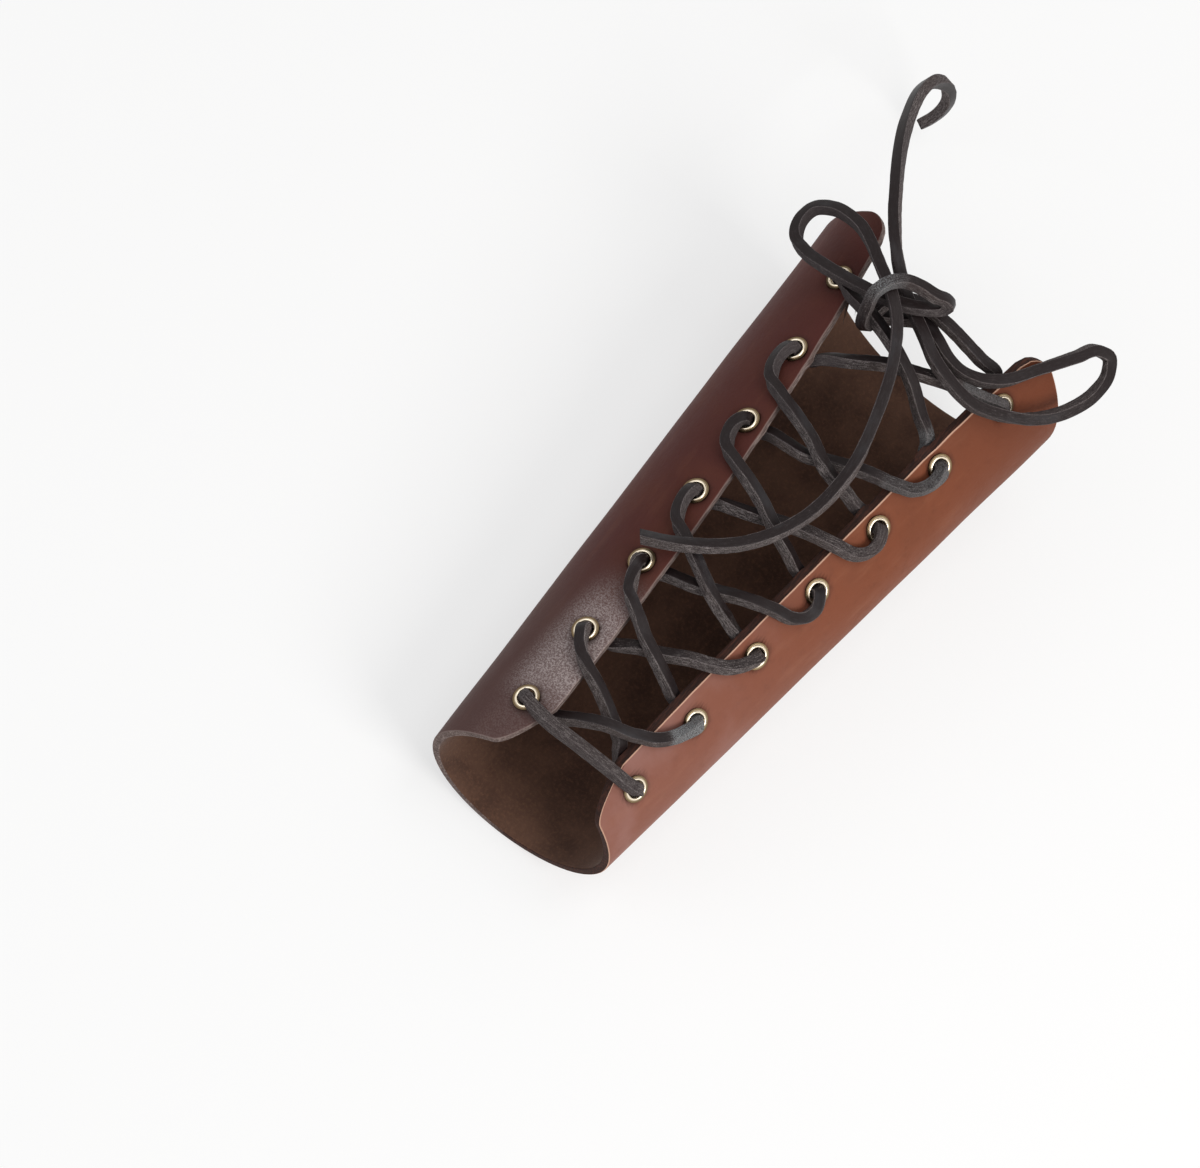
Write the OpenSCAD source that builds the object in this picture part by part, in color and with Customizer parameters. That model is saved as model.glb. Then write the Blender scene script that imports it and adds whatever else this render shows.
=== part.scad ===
// Laced leather arm guard for an archer's forearm.
// One sheet of leather is wrapped into an open tapered cuff. It lies on its back on a flat
// surface, with the lacing gap on top: +Z goes up through the gap, +Y runs along the cuff
// from the wrist end to the elbow end, and +X is to the right of that direction.
// Stations are distances along the back of the cuff, measured from its wrist end.

/* [Leather] */
// Length of the cuff along its back
cuff_len = 220; // [200:1:240]
// Outer width across the wrist end
wrist_w = 71; // [66:1:78]
// Outer height of the wrist end
wrist_h = 60; // [54:1:66]
// Outer width across the elbow end
elbow_w = 104; // [97:1:112]
// Outer height of the elbow end
elbow_h = 88; // [81:1:95]
// Thickness of the leather
leather_t = 3; // [2.5:0.1:3.6]
// How far the curved wrist end has risen towards the elbow where it reaches the gap
wrist_rise = 7.5; // [5:0.5:10]
// How far the curved elbow end has risen where it reaches the gap
elbow_rise = 10; // [7:0.5:13]
// How far each side of the wrist end is pulled out of square
wrist_skew = 2.2; // [0:0.1:3]
// How far each side of the elbow end is pulled out of square
elbow_skew = 2; // [0:0.1:3]
// Length of the slanted cut at the wrist corners, along the gap
wrist_cut_len = 18; // [12:1:22]
// Width of the slanted cut at the wrist corners, across the end
wrist_cut_w = 11; // [8:0.5:14]
// Radius of the elbow corners
elbow_corner_r = 11; // [7:0.5:14]
// How far the slanted cut on the right of the gap stands back at its outer face
cut_back = 1.1; // [0:0.1:1.4]
// How far that cut reaches into the gap at its inner face
cut_in = 1.1; // [0:0.1:1.4]

/* [Eyelet rows] */
// Pairs of eyelets
pairs = 7; // [6:1:7]
// Distance between eyelets along a row
pitch = 30; // [27:0.5:31]
// Station of the first pair
first_pair = 23.7; // [22:0.1:27]
// How far the first pair stands in from the sides of the cuff
row_in_wrist = 11.9; // [10:0.1:13]
// How far the last pair stands in from the sides of the cuff
row_in_elbow = 17; // [15:0.1:19]
// How far the lacing line lies to the right at the first pair
row_shift = 1.8; // [0:0.1:3]
// How far the lacing line has turned to the left at the last pair
row_turn = 4.3; // [0:0.1:6]
// How far the right row sits nearer to the elbow than the left row
row_skew = 2.2; // [0:0.1:4]
// Leather between an eyelet's axis and the gap at the first pair
margin_wrist = 10.8; // [9:0.1:12]
// Leather between an eyelet's axis and the gap at the last pair
margin_elbow = 6.8; // [6.5:0.1:9]

/* [Eyelets] */
// Outer diameter of an eyelet's flange
eyelet_d = 9.4; // [8.8:0.1:10]
// Clear bore of an eyelet
bore_d = 6; // [5.8:0.1:6.2]
// Wall of the barrel
barrel_t = 0.35; // [0.3:0.05:0.45]
// Thickness of the flange at its rim
flange_t = 0.35; // [0.3:0.05:0.5]
// Width of the rolled lip round the bore
lip_w = 0.95; // [0.8:0.05:1.1]
// Height of the rolled lip above the flange's underside
lip_h = 0.8; // [0.7:0.05:1]
// Outer diameter of the washer on the inner face
washer_d = 9.8; // [9.2:0.1:10.4]
// Thickness of the washer
washer_t = 0.5; // [0.4:0.05:0.7]
// How far the barrel's foot is spread out under the washer
foot_w = 1.1; // [0.9:0.1:1.3]
// Thickness of the spread foot
foot_t = 0.4; // [0.3:0.05:0.5]

/* [Lace] */
// Width and thickness of the square lace
lace_w = 4; // [3.6:0.1:4.1]
// Bevel along the lace's edges
lace_bevel = 0.6; // [0.4:0.1:1]

/* [Fits] */
// Gap between a barrel and its hole in the leather
hole_gap = 0.1; // [0.05:0.05:0.2]
// Gap round a flange or washer in its seat
seat_gap = 0.15; // [0.1:0.05:0.3]
// Depth to which a flange is pressed into the leather
seat_depth = 0.4; // [0.35:0.05:0.6]
// Depth to which a washer is pressed into the inner face
inner_seat = 0.1; // [0.05:0.05:0.2]
// Gap between the lace and what it lies on
lace_gap = 0.35; // [0.3:0.05:0.5]

/* [Hidden] */
leather_colour = [0.33, 0.19, 0.14];
brass_colour = [0.62, 0.52, 0.33];
lace_colour = [0.16, 0.14, 0.14];

side_names = ["left", "right"];

// The origin is under the middle of the cuff, and this is its station.
mid_station = cuff_len / 2 + 4;
row_len = pitch * (pairs - 1);
round_fn = 48;

function mix(a, b, t) = a + (b - a) * t;
function half_w(s) = mix(wrist_w, elbow_w, s / cuff_len) / 2;
function half_h(s) = mix(wrist_h, elbow_h, s / cuff_len) / 2;
function unit(v) = v / norm(v);

// A place on the outer face: th is measured from the top, positive to the right.
function outer_point(th, s) =
    [half_w(s) * sin(th), s - mid_station, half_h(s) * (1 + cos(th))];

// The outward direction square to the outer face, with its taper.
function outward(th, s) =
    let (a = half_w(s), b = half_h(s), c = cos(th), d = sin(th))
    let (taper_w = (elbow_w - wrist_w) / 2 / cuff_len, taper_h = (elbow_h - wrist_h) / 2 / cuff_len)
    unit([b * d, -(taper_h * (1 + c) * a * c + taper_w * b * d * d), a * c]);

// Arc length of the section per degree at th.
function arc_rate(th, s) =
    norm([half_w(s) * cos(th), half_h(s) * sin(th)]) * PI / 180;

// Rows of eyelets: side is -1 for left and 1 for right.
function along_rows(s) = (s - first_pair) / row_len;
function row_x(side, s) =
    let (k = along_rows(s), widest = [wrist_w / 2 - row_in_wrist, elbow_w / 2 - row_in_elbow])
    row_shift - row_turn * k * k + side * mix(widest[0], widest[1], k * k);
function row_th(side, s) = asin(row_x(side, s) / half_w(s));
function margin(s) =
    let (k = min(along_rows(s), 1))
    margin_elbow + (margin_wrist - margin_elbow) * (1 - k) * (1 - k);
function edge_th(side, s) =
    let (th = row_th(side, s))
    th - side * margin(s) / arc_rate(th, s);
function eyelet_station(side, i) = first_pair + pitch * i + side * row_skew / 2;

// Half of the section's arc, from the middle of the back to the gap's edge.
arc_steps = 12;
function half_arc(side, s) =
    let (reach = 180 - abs(edge_th(side, s)), step = reach / arc_steps)
    step * add([for (k = [0 : arc_steps - 1]) arc_rate(180 - (k + 0.5) * step, s)]);
function add(v, i = 0) = i < len(v) ? v[i] + add(v, i + 1) : 0;

// Stations of the two ends: f runs from -1 at the left edge of the gap, over 0 at the back,
// to 1 at the right edge.
wrist_cut_power = 1.9;
function turned(f, s) =
    let (side = f < 0 ? -1 : 1)
    side * (180 - abs(f) * (180 - abs(edge_th(side, s))));
function edge_arc(f, s) = (1 - abs(f)) * half_arc(f < 0 ? -1 : 1, s);
function wrist_station(f) =
    let (d = edge_arc(f, wrist_cut_len), left = max(0, 1 - d / wrist_cut_w))
    wrist_rise * f * f + wrist_skew * sin(turned(f, 0)) + wrist_cut_len * pow(left, wrist_cut_power);
function elbow_station(f) =
    let (d = edge_arc(f, cuff_len), left = max(0, 1 - d / elbow_corner_r))
    cuff_len + elbow_rise * f * f - elbow_skew * sin(turned(f, cuff_len))
        - elbow_corner_r * (1 - sqrt(1 - left * left));

// Columns of the sheet stand close together at the corners and wider apart round the back.
corner_columns = [0, 0.007, 0.022, 0.045, 0.075, 0.115];
back_columns = 15;
half_columns = concat(
    [for (d = corner_columns) 1 - d],
    [for (k = [1 : back_columns - 1]) (1 - corner_columns[5]) * (1 - k / back_columns)]
);
columns = concat(
    [for (f = half_columns) -f], [0],
    [for (k = [len(half_columns) - 1 : -1 : 0]) half_columns[k]]
);
rows = 14;

// The right edge of the gap is cut at a slant: both faces are shifted there, less and less
// towards the wide columns, and the outer face also less towards the elbow.
function cut_shift(f, s, depth) =
    let (near = max(0, 1 - (1 - f) / corner_columns[len(corner_columns) - 1]))
    near * (depth > 0 ? -cut_in : cut_back * (1 - 0.6 * s / cuff_len));
function sheet_point(f, v, depth) =
    let (s = mix(wrist_station(f), elbow_station(f), v), square_th = turned(f, s))
    let (th = square_th + cut_shift(f, s, depth) / arc_rate(square_th, s))
    outer_point(th, s) - depth * outward(th, s);

// Puts its children on the outer face at an eyelet's axis, with +Z outwards.
module at_eyelet(side, i) {
    s = eyelet_station(side, i);
    th = row_th(side, s);
    n = outward(th, s);
    translate(outer_point(th, s))
        rotate([0, acos(n.z), atan2(n.y, n.x)])
            children();
}

// The bare sheet: outer face, inner face and the cut edges that join them.
module sheet() {
    n_col = len(columns);
    n_row = rows + 1;
    face_points = n_col * n_row;
    function at(face, c, r) = face * face_points + c * n_row + r;
    points = concat(
        [for (f = columns) for (r = [0 : rows]) sheet_point(f, r / rows, 0)],
        [for (f = columns) for (r = [0 : rows]) sheet_point(f, r / rows, leather_t)]
    );
    outer = [for (c = [0 : n_col - 2]) for (r = [0 : rows - 1]) each [
        [at(0, c, r), at(0, c + 1, r + 1), at(0, c, r + 1)],
        [at(0, c, r), at(0, c + 1, r), at(0, c + 1, r + 1)]
    ]];
    inner = [for (c = [0 : n_col - 2]) for (r = [0 : rows - 1]) each [
        [at(1, c, r), at(1, c, r + 1), at(1, c + 1, r + 1)],
        [at(1, c, r), at(1, c + 1, r + 1), at(1, c + 1, r)]
    ]];
    ends = [for (c = [0 : n_col - 2]) each [
        [at(0, c, 0), at(1, c + 1, 0), at(0, c + 1, 0)],
        [at(0, c, 0), at(1, c, 0), at(1, c + 1, 0)],
        [at(0, c, rows), at(0, c + 1, rows), at(1, c + 1, rows)],
        [at(0, c, rows), at(1, c + 1, rows), at(1, c, rows)]
    ]];
    last = n_col - 1;
    gap_edges = [for (r = [0 : rows - 1]) each [
        [at(0, 0, r), at(1, 0, r + 1), at(1, 0, r)],
        [at(0, 0, r), at(0, 0, r + 1), at(1, 0, r + 1)],
        [at(0, last, r), at(1, last, r), at(1, last, r + 1)],
        [at(0, last, r), at(1, last, r + 1), at(0, last, r + 1)]
    ]];
    polyhedron(points, concat(outer, inner, ends, gap_edges), convexity = 8);
}

// Tools that cut the leather for one eyelet: its hole and the flats that both rings press.
over_cut = 2;
module eyelet_cuts() {
    cylinder(d = bore_d + 2 * barrel_t + 2 * hole_gap, h = 2 * (leather_t + over_cut),
             center = true, $fn = round_fn);
    translate([0, 0, -seat_depth])
        cylinder(d = eyelet_d + 2 * seat_gap, h = seat_depth + over_cut, $fn = round_fn);
    translate([0, 0, -leather_t - over_cut])
        cylinder(d = washer_d + 2 * seat_gap, h = over_cut + inner_seat, $fn = round_fn);
}

module cuff() {
    color(leather_colour)
        difference() {
            sheet();
            for (side = [-1, 1]) for (i = [0 : pairs - 1])
                at_eyelet(side, i) eyelet_cuts();
        }
}

// Leather left between the two pressed flats, and the barrel's whole depth.
grip = leather_t - seat_depth - inner_seat;
barrel_len = grip + washer_t;

// Half section of an eyelet: rolled lip, flat flange, barrel and spread foot. Its flange's
// underside is at zero.
module eyelet_section() {
    r = bore_d / 2;
    translate([r, -barrel_len - foot_t]) square([barrel_t, barrel_len + foot_t + lip_h / 2]);
    translate([r, 0]) square([eyelet_d / 2 - r, flange_t]);
    translate([r + lip_w / 2, lip_h - lip_w / 2]) circle(d = lip_w, $fn = round_fn);
    translate([r, 0]) square([lip_w, lip_h - lip_w / 2]);
    translate([r, -barrel_len - foot_t]) square([foot_w, foot_t]);
}

module eyelet(side, i) {
    color(brass_colour)
        at_eyelet(side, i)
            translate([0, 0, -seat_depth])
                rotate_extrude($fn = round_fn) eyelet_section();
}

// The washer lies between the leather and the foot.
module washer(side, i) {
    inner_r = bore_d / 2 + barrel_t + hole_gap;
    color(brass_colour)
        at_eyelet(side, i)
            translate([0, 0, -seat_depth - barrel_len])
                rotate_extrude($fn = round_fn)
                    translate([inner_r, 0]) square([washer_d / 2 - inner_r, washer_t]);
}

// A place at a height over the outer face, by its distance across.
function over(x, s, h) =
    let (th = asin(x / half_w(s)))
    outer_point(th, s) + h * outward(th, s);

// Heights of the lace's middle: on the leather, over a flange, under leather and foot, and
// under the edges of the gap.
half_lace = lace_w / 2;
on_leather = half_lace + lace_gap;
on_flange = lip_h - seat_depth + half_lace + lace_gap;
under_leather = -leather_t - half_lace - lace_gap;
under_foot = -seat_depth - barrel_len - foot_t - half_lace - lace_gap;
under_edge = under_leather - 0.55;

// Half of the gap between the two strands where they cross in the gap, the height there, and
// how far across and how far along each of them keeps that height.
cross_half = half_lace + 0.3;
cross_height = -1.25;
cross_run = 4.4;
cross_climb = 2;
// Where the strands between two pairs cross: how far right of the middle between the rows, and
// how far ahead of the lower pair.
cross_right = [6.2, -3.5, -2.6, -2.4, -2.3, 0.5];
cross_ahead = [9.5, 6.6, 4.9, 6.2, 3, 15];

// How far ahead of its eyelet each strand comes out under the edge of the gap, for the strands
// that start on the left and on the right.
leave_ahead = [[1.5, 2.4, 2.2, 2.2, 1.6, 2.2], [4.2, 0.8, 0.8, 0.8, 0.6, 3]];
// How far behind its next eyelet each strand passes over the edge of the gap, for the strands
// that end on the left and on the right, and how far each swings back towards the gap.
arrive_behind = [[10.9, 15.2, 16.2, 15.4, 17.5, 3.5], [17, 13.2, 16.3, 15.8, 16.2, 3.5]];
arrive_swing = [[0.9, 0.8, -0.8, -1.6, -1.6, 0], [0.7, 1, -3.2, -2.9, -1.1, 0]];

// A strand starts under an eyelet: rows are [distance inwards, distance ahead, height].
strand_start = [
    [0, 0, -2], [0.1, 0.1, -4.4], [1.7, 0.4, under_foot], [4.4, 1.2, under_foot]
];
// Under the last pair it turns this many times as far ahead, on the left and on the right.
end_turn = [1, 2.8];
function start_points(side, i, turn = 1) =
    [for (p = strand_start) near_eyelet(side, i, [p[0], p[1] * turn, p[2]])];
// It swings over the leather to the wrist side of its next eyelet: rows are shares of the
// margin inwards, of the way back to the edge of the gap and of the swing, and the height.
strand_swing = [
    [0.55, 0.8, 0.8, on_leather + 0.2], [0.28, 0.56, 1, on_leather + 0.3],
    [0.12, 0.3, 0.8, on_flange + 0.1]
];
// In the last pair it goes straight to the eyelet: rows as for the start.
strand_straight = [[4.6, -2.4, on_flange + 0.1]];
// It bends over the lip this far from the bore's axis, and goes down.
lip_bend = 1.9;
bore_end = [[0.1, 1.3], [0, -1]];

function near_eyelet(side, i, step) =
    let (s = eyelet_station(side, i))
    over(row_x(side, s) - side * step[0], s + step[1], step[2]);
function gap_edge(side, s, h) =
    let (th = edge_th(side, s)) outer_point(th, s) + h * outward(th, s);
function edge_x(side, s) = half_w(s) * sin(edge_th(side, s));
function column(side) = side < 0 ? 0 : 1;

// The last stretch of a strand, from over the edge of the gap into the bore of an eyelet.
function strand_end(side, i) =
    let (back = arrive_behind[column(side)][i - 1], swing = arrive_swing[column(side)][i - 1])
    let (wide = margin(eyelet_station(side, i)))
    let (steps = i == pairs - 1
        ? strand_straight
        : [for (p = strand_swing) [p[0] * wide + p[2] * swing, -p[1] * back, p[3]]])
    let (last = steps[len(steps) - 1], aim = unit([last[0], last[1], 0]))
    concat(steps, [[aim.x * lip_bend, aim.y * lip_bend, on_flange]],
           [for (q = bore_end) [aim.x * q[0], aim.y * q[0], q[1]]]);

// One strand: it starts under an eyelet, comes out under that edge of the gap, crosses the gap,
// passes over the other edge and goes down into the next eyelet there.
function strand(side, i) =
    let (from = eyelet_station(side, i) + leave_ahead[column(side)][i])
    let (to = eyelet_station(-side, i + 1) - arrive_behind[column(-side)][i])
    let (on_top = (side > 0) != (i == 0))
    let (h = cross_height + (on_top ? cross_half : -cross_half))
    let (s = first_pair + pitch * i + cross_ahead[i], x = row_x(0, s) + cross_right[i])
    let (near_x = x + side * cross_run, far_x = x - side * cross_run)
    concat(
        start_points(side, i),
        [
            gap_edge(side, from, under_edge),
            over(mix(edge_x(side, from), near_x, 0.5), mix(from, s - cross_climb, 0.5),
                 mix(under_edge, h, 0.3)),
            over(near_x, s - cross_climb, h),
            over(far_x, s + cross_climb, h),
            over(mix(far_x, edge_x(-side, to), 0.5), mix(s + cross_climb, to, 0.5),
                 mix(h, on_leather, 0.55)),
            gap_edge(-side, to, on_leather + 0.2)
        ],
        [for (p = strand_end(-side, i + 1)) near_eyelet(-side, i + 1, p)]
    );

// The bar over the wrist end, from the left eyelet to the right one. It bows towards the wrist.
bar_end = [
    [0, 0, -1], [0.1, 0, 1.3], [1.7, -0.8, on_flange], [4.6, -2, on_flange + 0.1],
    [9.4, -3, on_leather]
];
bar_middle = [-3.5, 0.8];
function bar() = concat(
    [for (p = bar_end) near_eyelet(-1, 0, p)],
    [over(row_x(0, first_pair), first_pair + bar_middle[0], bar_middle[1])],
    [for (k = [len(bar_end) - 1 : -1 : 0]) near_eyelet(1, 0, bar_end[k])]
);

// All strands from one wrist eyelet to the last eyelet on the way, and its end under the leather.
function climb(side) =
    concat(
        [for (i = [0 : pairs - 2]) each strand(i % 2 == 0 ? side : -side, i)],
        let (last = pairs % 2 == 1 ? side : -side) start_points(last, pairs - 1, end_turn[column(last)])
    );
function reversed(v) = [for (k = [len(v) - 1 : -1 : 0]) v[k]];
function lacing_points() = concat(reversed(climb(-1)), bar(), climb(1));

// A smooth curve through points: each point's direction is the blend of its two chords.
function chord(p, i) = norm(p[i + 1] - p[i]);
function slope(p, i) =
    i == 0 ? unit(p[1] - p[0])
    : i == len(p) - 1 ? unit(p[i] - p[i - 1])
    : let (h0 = chord(p, i - 1), h1 = chord(p, i))
      ((p[i + 1] - p[i]) / h1 * h0 + (p[i] - p[i - 1]) / h0 * h1) / (h0 + h1);
function on_curve(p, i, u) =
    let (h = chord(p, i), w = u * u, q = u * u * u)
    (2 * q - 3 * w + 1) * p[i] + (q - 2 * w + u) * h * slope(p, i)
        + (3 * w - 2 * q) * p[i + 1] + (q - w) * h * slope(p, i + 1);
function smooth(p, step) = concat(
    [for (i = [0 : len(p) - 2])
        let (n = max(1, round(chord(p, i) / step)))
        each [for (k = [0 : n - 1]) on_curve(p, i, k / n)]],
    [p[len(p) - 1]]
);

// Directions along a path. A cross direction is carried along it, and is turned a little at
// each step until a flat side of the lace lies along the leather.
function heading(p, i) =
    unit(p[min(i + 1, len(p) - 1)] - p[max(i - 1, 0)]);
function flatten(v, t) = v - (v * t) * t;
function away(q) =
    let (a = half_w(q.y + mid_station), b = half_h(q.y + mid_station))
    unit([q.x / a / a, 0, (q.z - b) / b / b]);
settle_share = 0.5;
function settled(t, n, up) =
    let (m = cross(t, n), off = atan2(up * m, up * n))
    let (turn = settle_share * (off - 90 * round(off / 90)) * norm(up) * norm(up))
    n * cos(turn) + m * sin(turn);
function carried(p, first) =
    [for (i = 0, n = unit(flatten(first, heading(p, 0))); i < len(p);
          i = i + 1,
          n = i < len(p)
              ? let (t = heading(p, i)) settled(t, unit(flatten(n, t)), flatten(away(p[i]), t))
              : n) n];

// A square tube with bevelled edges along a path.
lace_section =
    let (a = half_lace, b = half_lace - lace_bevel)
    [[a, b], [b, a], [-b, a], [-a, b], [-a, -b], [-b, -a], [b, -a], [a, -b]];
module lace_along(p, first) {
    across = carried(p, first);
    sides = len(lace_section);
    points = [for (i = [0 : len(p) - 1])
        let (t = heading(p, i), n = across[i], m = cross(t, n))
        each [for (q = lace_section) p[i] + q.x * n + q.y * m]];
    function at(i, k) = i * sides + k % sides;
    walls = [for (i = [0 : len(p) - 2]) for (k = [0 : sides - 1]) each [
        [at(i, k), at(i + 1, k + 1), at(i, k + 1)],
        [at(i, k), at(i + 1, k), at(i + 1, k + 1)]
    ]];
    last = len(p) - 1;
    caps = [for (k = [1 : sides - 2]) each [
        [at(0, 0), at(0, k), at(0, k + 1)],
        [at(last, 0), at(last, k + 1), at(last, k)]
    ]];
    polyhedron(points, concat(walls, caps), convexity = 10);
}

lacing_step = 5;
module lacing() {
    color(lace_colour) lace_along(smooth(lacing_points(), lacing_step), [0, 1, 0]);
}

// The two free ends start where the lacing ends under the last pair. They meet over the gap
// in a bow: the left end makes the right loop and the tail at the elbow, and the right end
// makes the wrap, the left loop and the tail that lies down over the lacing.
function under_last(side) = start_points(side, pairs - 1, end_turn[column(side)])[len(strand_start) - 1];
left_end_points = [
    [-25.5, 86.5, 73], [-19, 87, 73.5], [-13, 90, 75.5], [-8, 93, 77.5], [-4, 93.5, 79],
    [1.5, 91, 81.5], [8.5, 88, 82.5], [14.5, 87.5, 83], [20.5, 89.5, 83.5], [26.5, 95, 83],
    [33, 107, 81.5], [40, 122, 77], [44, 130.5, 74], [49, 132.5, 71.5], [52, 128.5, 70.5],
    [53, 119.5, 71], [50, 107, 73.5], [43.5, 95, 78], [34, 85.5, 83], [23.5, 80, 86.3],
    [13.5, 80, 87.8], [4, 83, 87], [-3, 87, 86.5], [-9, 90.5, 85], [-15.5, 94, 84.5],
    [-21, 97.5, 85], [-27.5, 102, 87], [-36, 111.5, 86], [-42.5, 121.5, 83], [-50, 135.5, 76.5],
    [-56, 151.5, 67.5], [-59, 166.5, 58], [-58, 176.5, 49], [-54, 183.5, 38], [-50.5, 185, 26],
    [-50.5, 183, 15], [-52, 180.5, 9]
];
right_end_points = [
    [24, 98.5, 74.5], [16.5, 98, 77.5], [-0.5, 97.5, 82], [-8, 97.5, 81], [-14.5, 96, 80],
    [-19.5, 90.5, 79], [-20.5, 81.5, 77], [-19.5, 76, 80.5], [-22, 74, 85], [-24.5, 77.5, 90.5],
    [-25.5, 83, 94.5], [-23.5, 88.5, 96.5], [-20, 93.5, 96], [-15, 96.5, 95], [-9, 98, 94.5],
    [-3.5, 101.5, 93], [-1, 101.5, 91], [-2.5, 99, 88.5], [-8.5, 94, 89.5], [-14.5, 89.5, 89],
    [-21.5, 87.5, 87], [-28, 86, 85.5], [-44, 85, 79], [-51, 86.5, 74], [-57, 90, 70],
    [-59.5, 95, 70], [-59, 101, 72], [-54, 104, 76.5], [-45.5, 103.5, 82], [-27.5, 93, 90],
    [-21, 88.5, 92.3], [-13, 82, 92], [-7.5, 75.5, 90], [4, 50.5, 86.5], [8.5, 34, 84.5],
    [7, 9.5, 82], [-2, -9, 80], [-15, -21, 77], [-22, -24.5, 73], [-29, -27, 68.5]
];
end_step = 8;

module lace_end_left() {
    color(lace_colour)
        lace_along(smooth(concat([under_last(-1)], left_end_points), end_step), [0, 1, 0]);
}

module lace_end_right() {
    color(lace_colour)
        lace_along(smooth(concat([under_last(1)], right_end_points), end_step), [0, 1, 0]);
}

cuff();
for (k = [0, 1]) for (i = [0 : pairs - 1])
    eyelet(2 * k - 1, i);
for (k = [0, 1]) for (i = [0 : pairs - 1])
    washer(2 * k - 1, i);
lacing();
lace_end_left();
lace_end_right();
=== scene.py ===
"""Dresses the laced leather arm guard: its leather, its eyelets and its lace.

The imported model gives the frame, in metres: the cuff lies on its back, +Z goes up through the
lacing gap and +Y runs from the wrist end to the elbow end.
"""

from __future__ import annotations

import logging
import math
from dataclasses import dataclass, field
from enum import Enum
from typing import Sequence

import bmesh
import bpy
from mathutils import Euler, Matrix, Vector, noise

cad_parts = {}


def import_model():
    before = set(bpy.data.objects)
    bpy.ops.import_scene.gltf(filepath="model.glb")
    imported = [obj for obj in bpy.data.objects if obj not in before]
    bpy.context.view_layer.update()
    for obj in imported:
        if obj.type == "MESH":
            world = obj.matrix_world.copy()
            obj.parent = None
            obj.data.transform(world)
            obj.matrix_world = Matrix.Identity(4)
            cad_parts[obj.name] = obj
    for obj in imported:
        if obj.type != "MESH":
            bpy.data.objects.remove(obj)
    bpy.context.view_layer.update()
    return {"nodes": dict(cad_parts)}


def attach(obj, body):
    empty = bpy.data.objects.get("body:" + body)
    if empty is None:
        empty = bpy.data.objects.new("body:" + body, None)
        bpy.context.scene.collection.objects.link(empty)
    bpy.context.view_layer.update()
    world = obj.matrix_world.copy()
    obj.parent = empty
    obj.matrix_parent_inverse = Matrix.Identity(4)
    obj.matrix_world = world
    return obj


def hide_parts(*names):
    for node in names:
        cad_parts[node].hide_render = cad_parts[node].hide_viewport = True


log = logging.getLogger("arm_guard")

Colour = tuple[float, float, float, float]
Point = tuple[float, float, float]
Range = tuple[float, float]
Marks = tuple[tuple[float, float], ...]

WHITE: Colour = (1.0, 1.0, 1.0, 1.0)


class Flap(Enum):
    """The two flaps of the cuff beside the gap, with the sign of X on each."""

    LEFT = -1
    RIGHT = 1

    @property
    def word(self) -> str:
        """The flap's name in node names."""
        return self.name.lower()


def plain(r: float, g: float, b: float) -> Colour:
    """A colour given as the eye sees it, from 0 to 255, as linear values.

    Args:
        r: its red.
        g: its green.
        b: its blue.

    Returns:
        The linear colour, with a full alpha.
    """

    def linear(v: float) -> float:
        """One channel as a linear value."""
        v = v / 255
        return v / 12.92 if v <= 0.04045 else ((v + 0.055) / 1.055) ** 2.4

    return (linear(r), linear(g), linear(b), 1.0)


def clamped(value: float) -> float:
    """A number, held from 0 to 1."""
    return min(1.0, max(0.0, value))


def read_marks(marks: Marks, place: float) -> float:
    """Reads a value off a list of marks.

    Args:
        marks: pairs of a place and the value there, with the places in order.
        place: the place asked for.

    Returns:
        The value, in even steps between the two marks on either side.
    """
    for (near, first), (far, second) in zip(marks, marks[1:]):
        if place <= far:
            return first + (second - first) * max(0.0, place - near) / (far - near)
    return marks[-1][1]


def pick(piece: bpy.types.Object) -> None:
    """Selects one piece alone and makes it the active one.

    Args:
        piece: the piece.
    """
    bpy.ops.object.select_all(action="DESELECT")
    piece.select_set(True)
    bpy.context.view_layer.objects.active = piece


def modify(piece: bpy.types.Object, name: str, kind: str, settings: dict) -> None:
    """Gives a piece a modifier and applies it.

    Args:
        piece: the piece, which is the active one.
        name: the modifier's name.
        kind: its type.
        settings: what is set on it.
    """
    modifier = piece.modifiers.new(name, kind)
    for setting, value in settings.items():
        setattr(modifier, setting, value)
    bpy.ops.object.modifier_apply(modifier=modifier.name)


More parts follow.
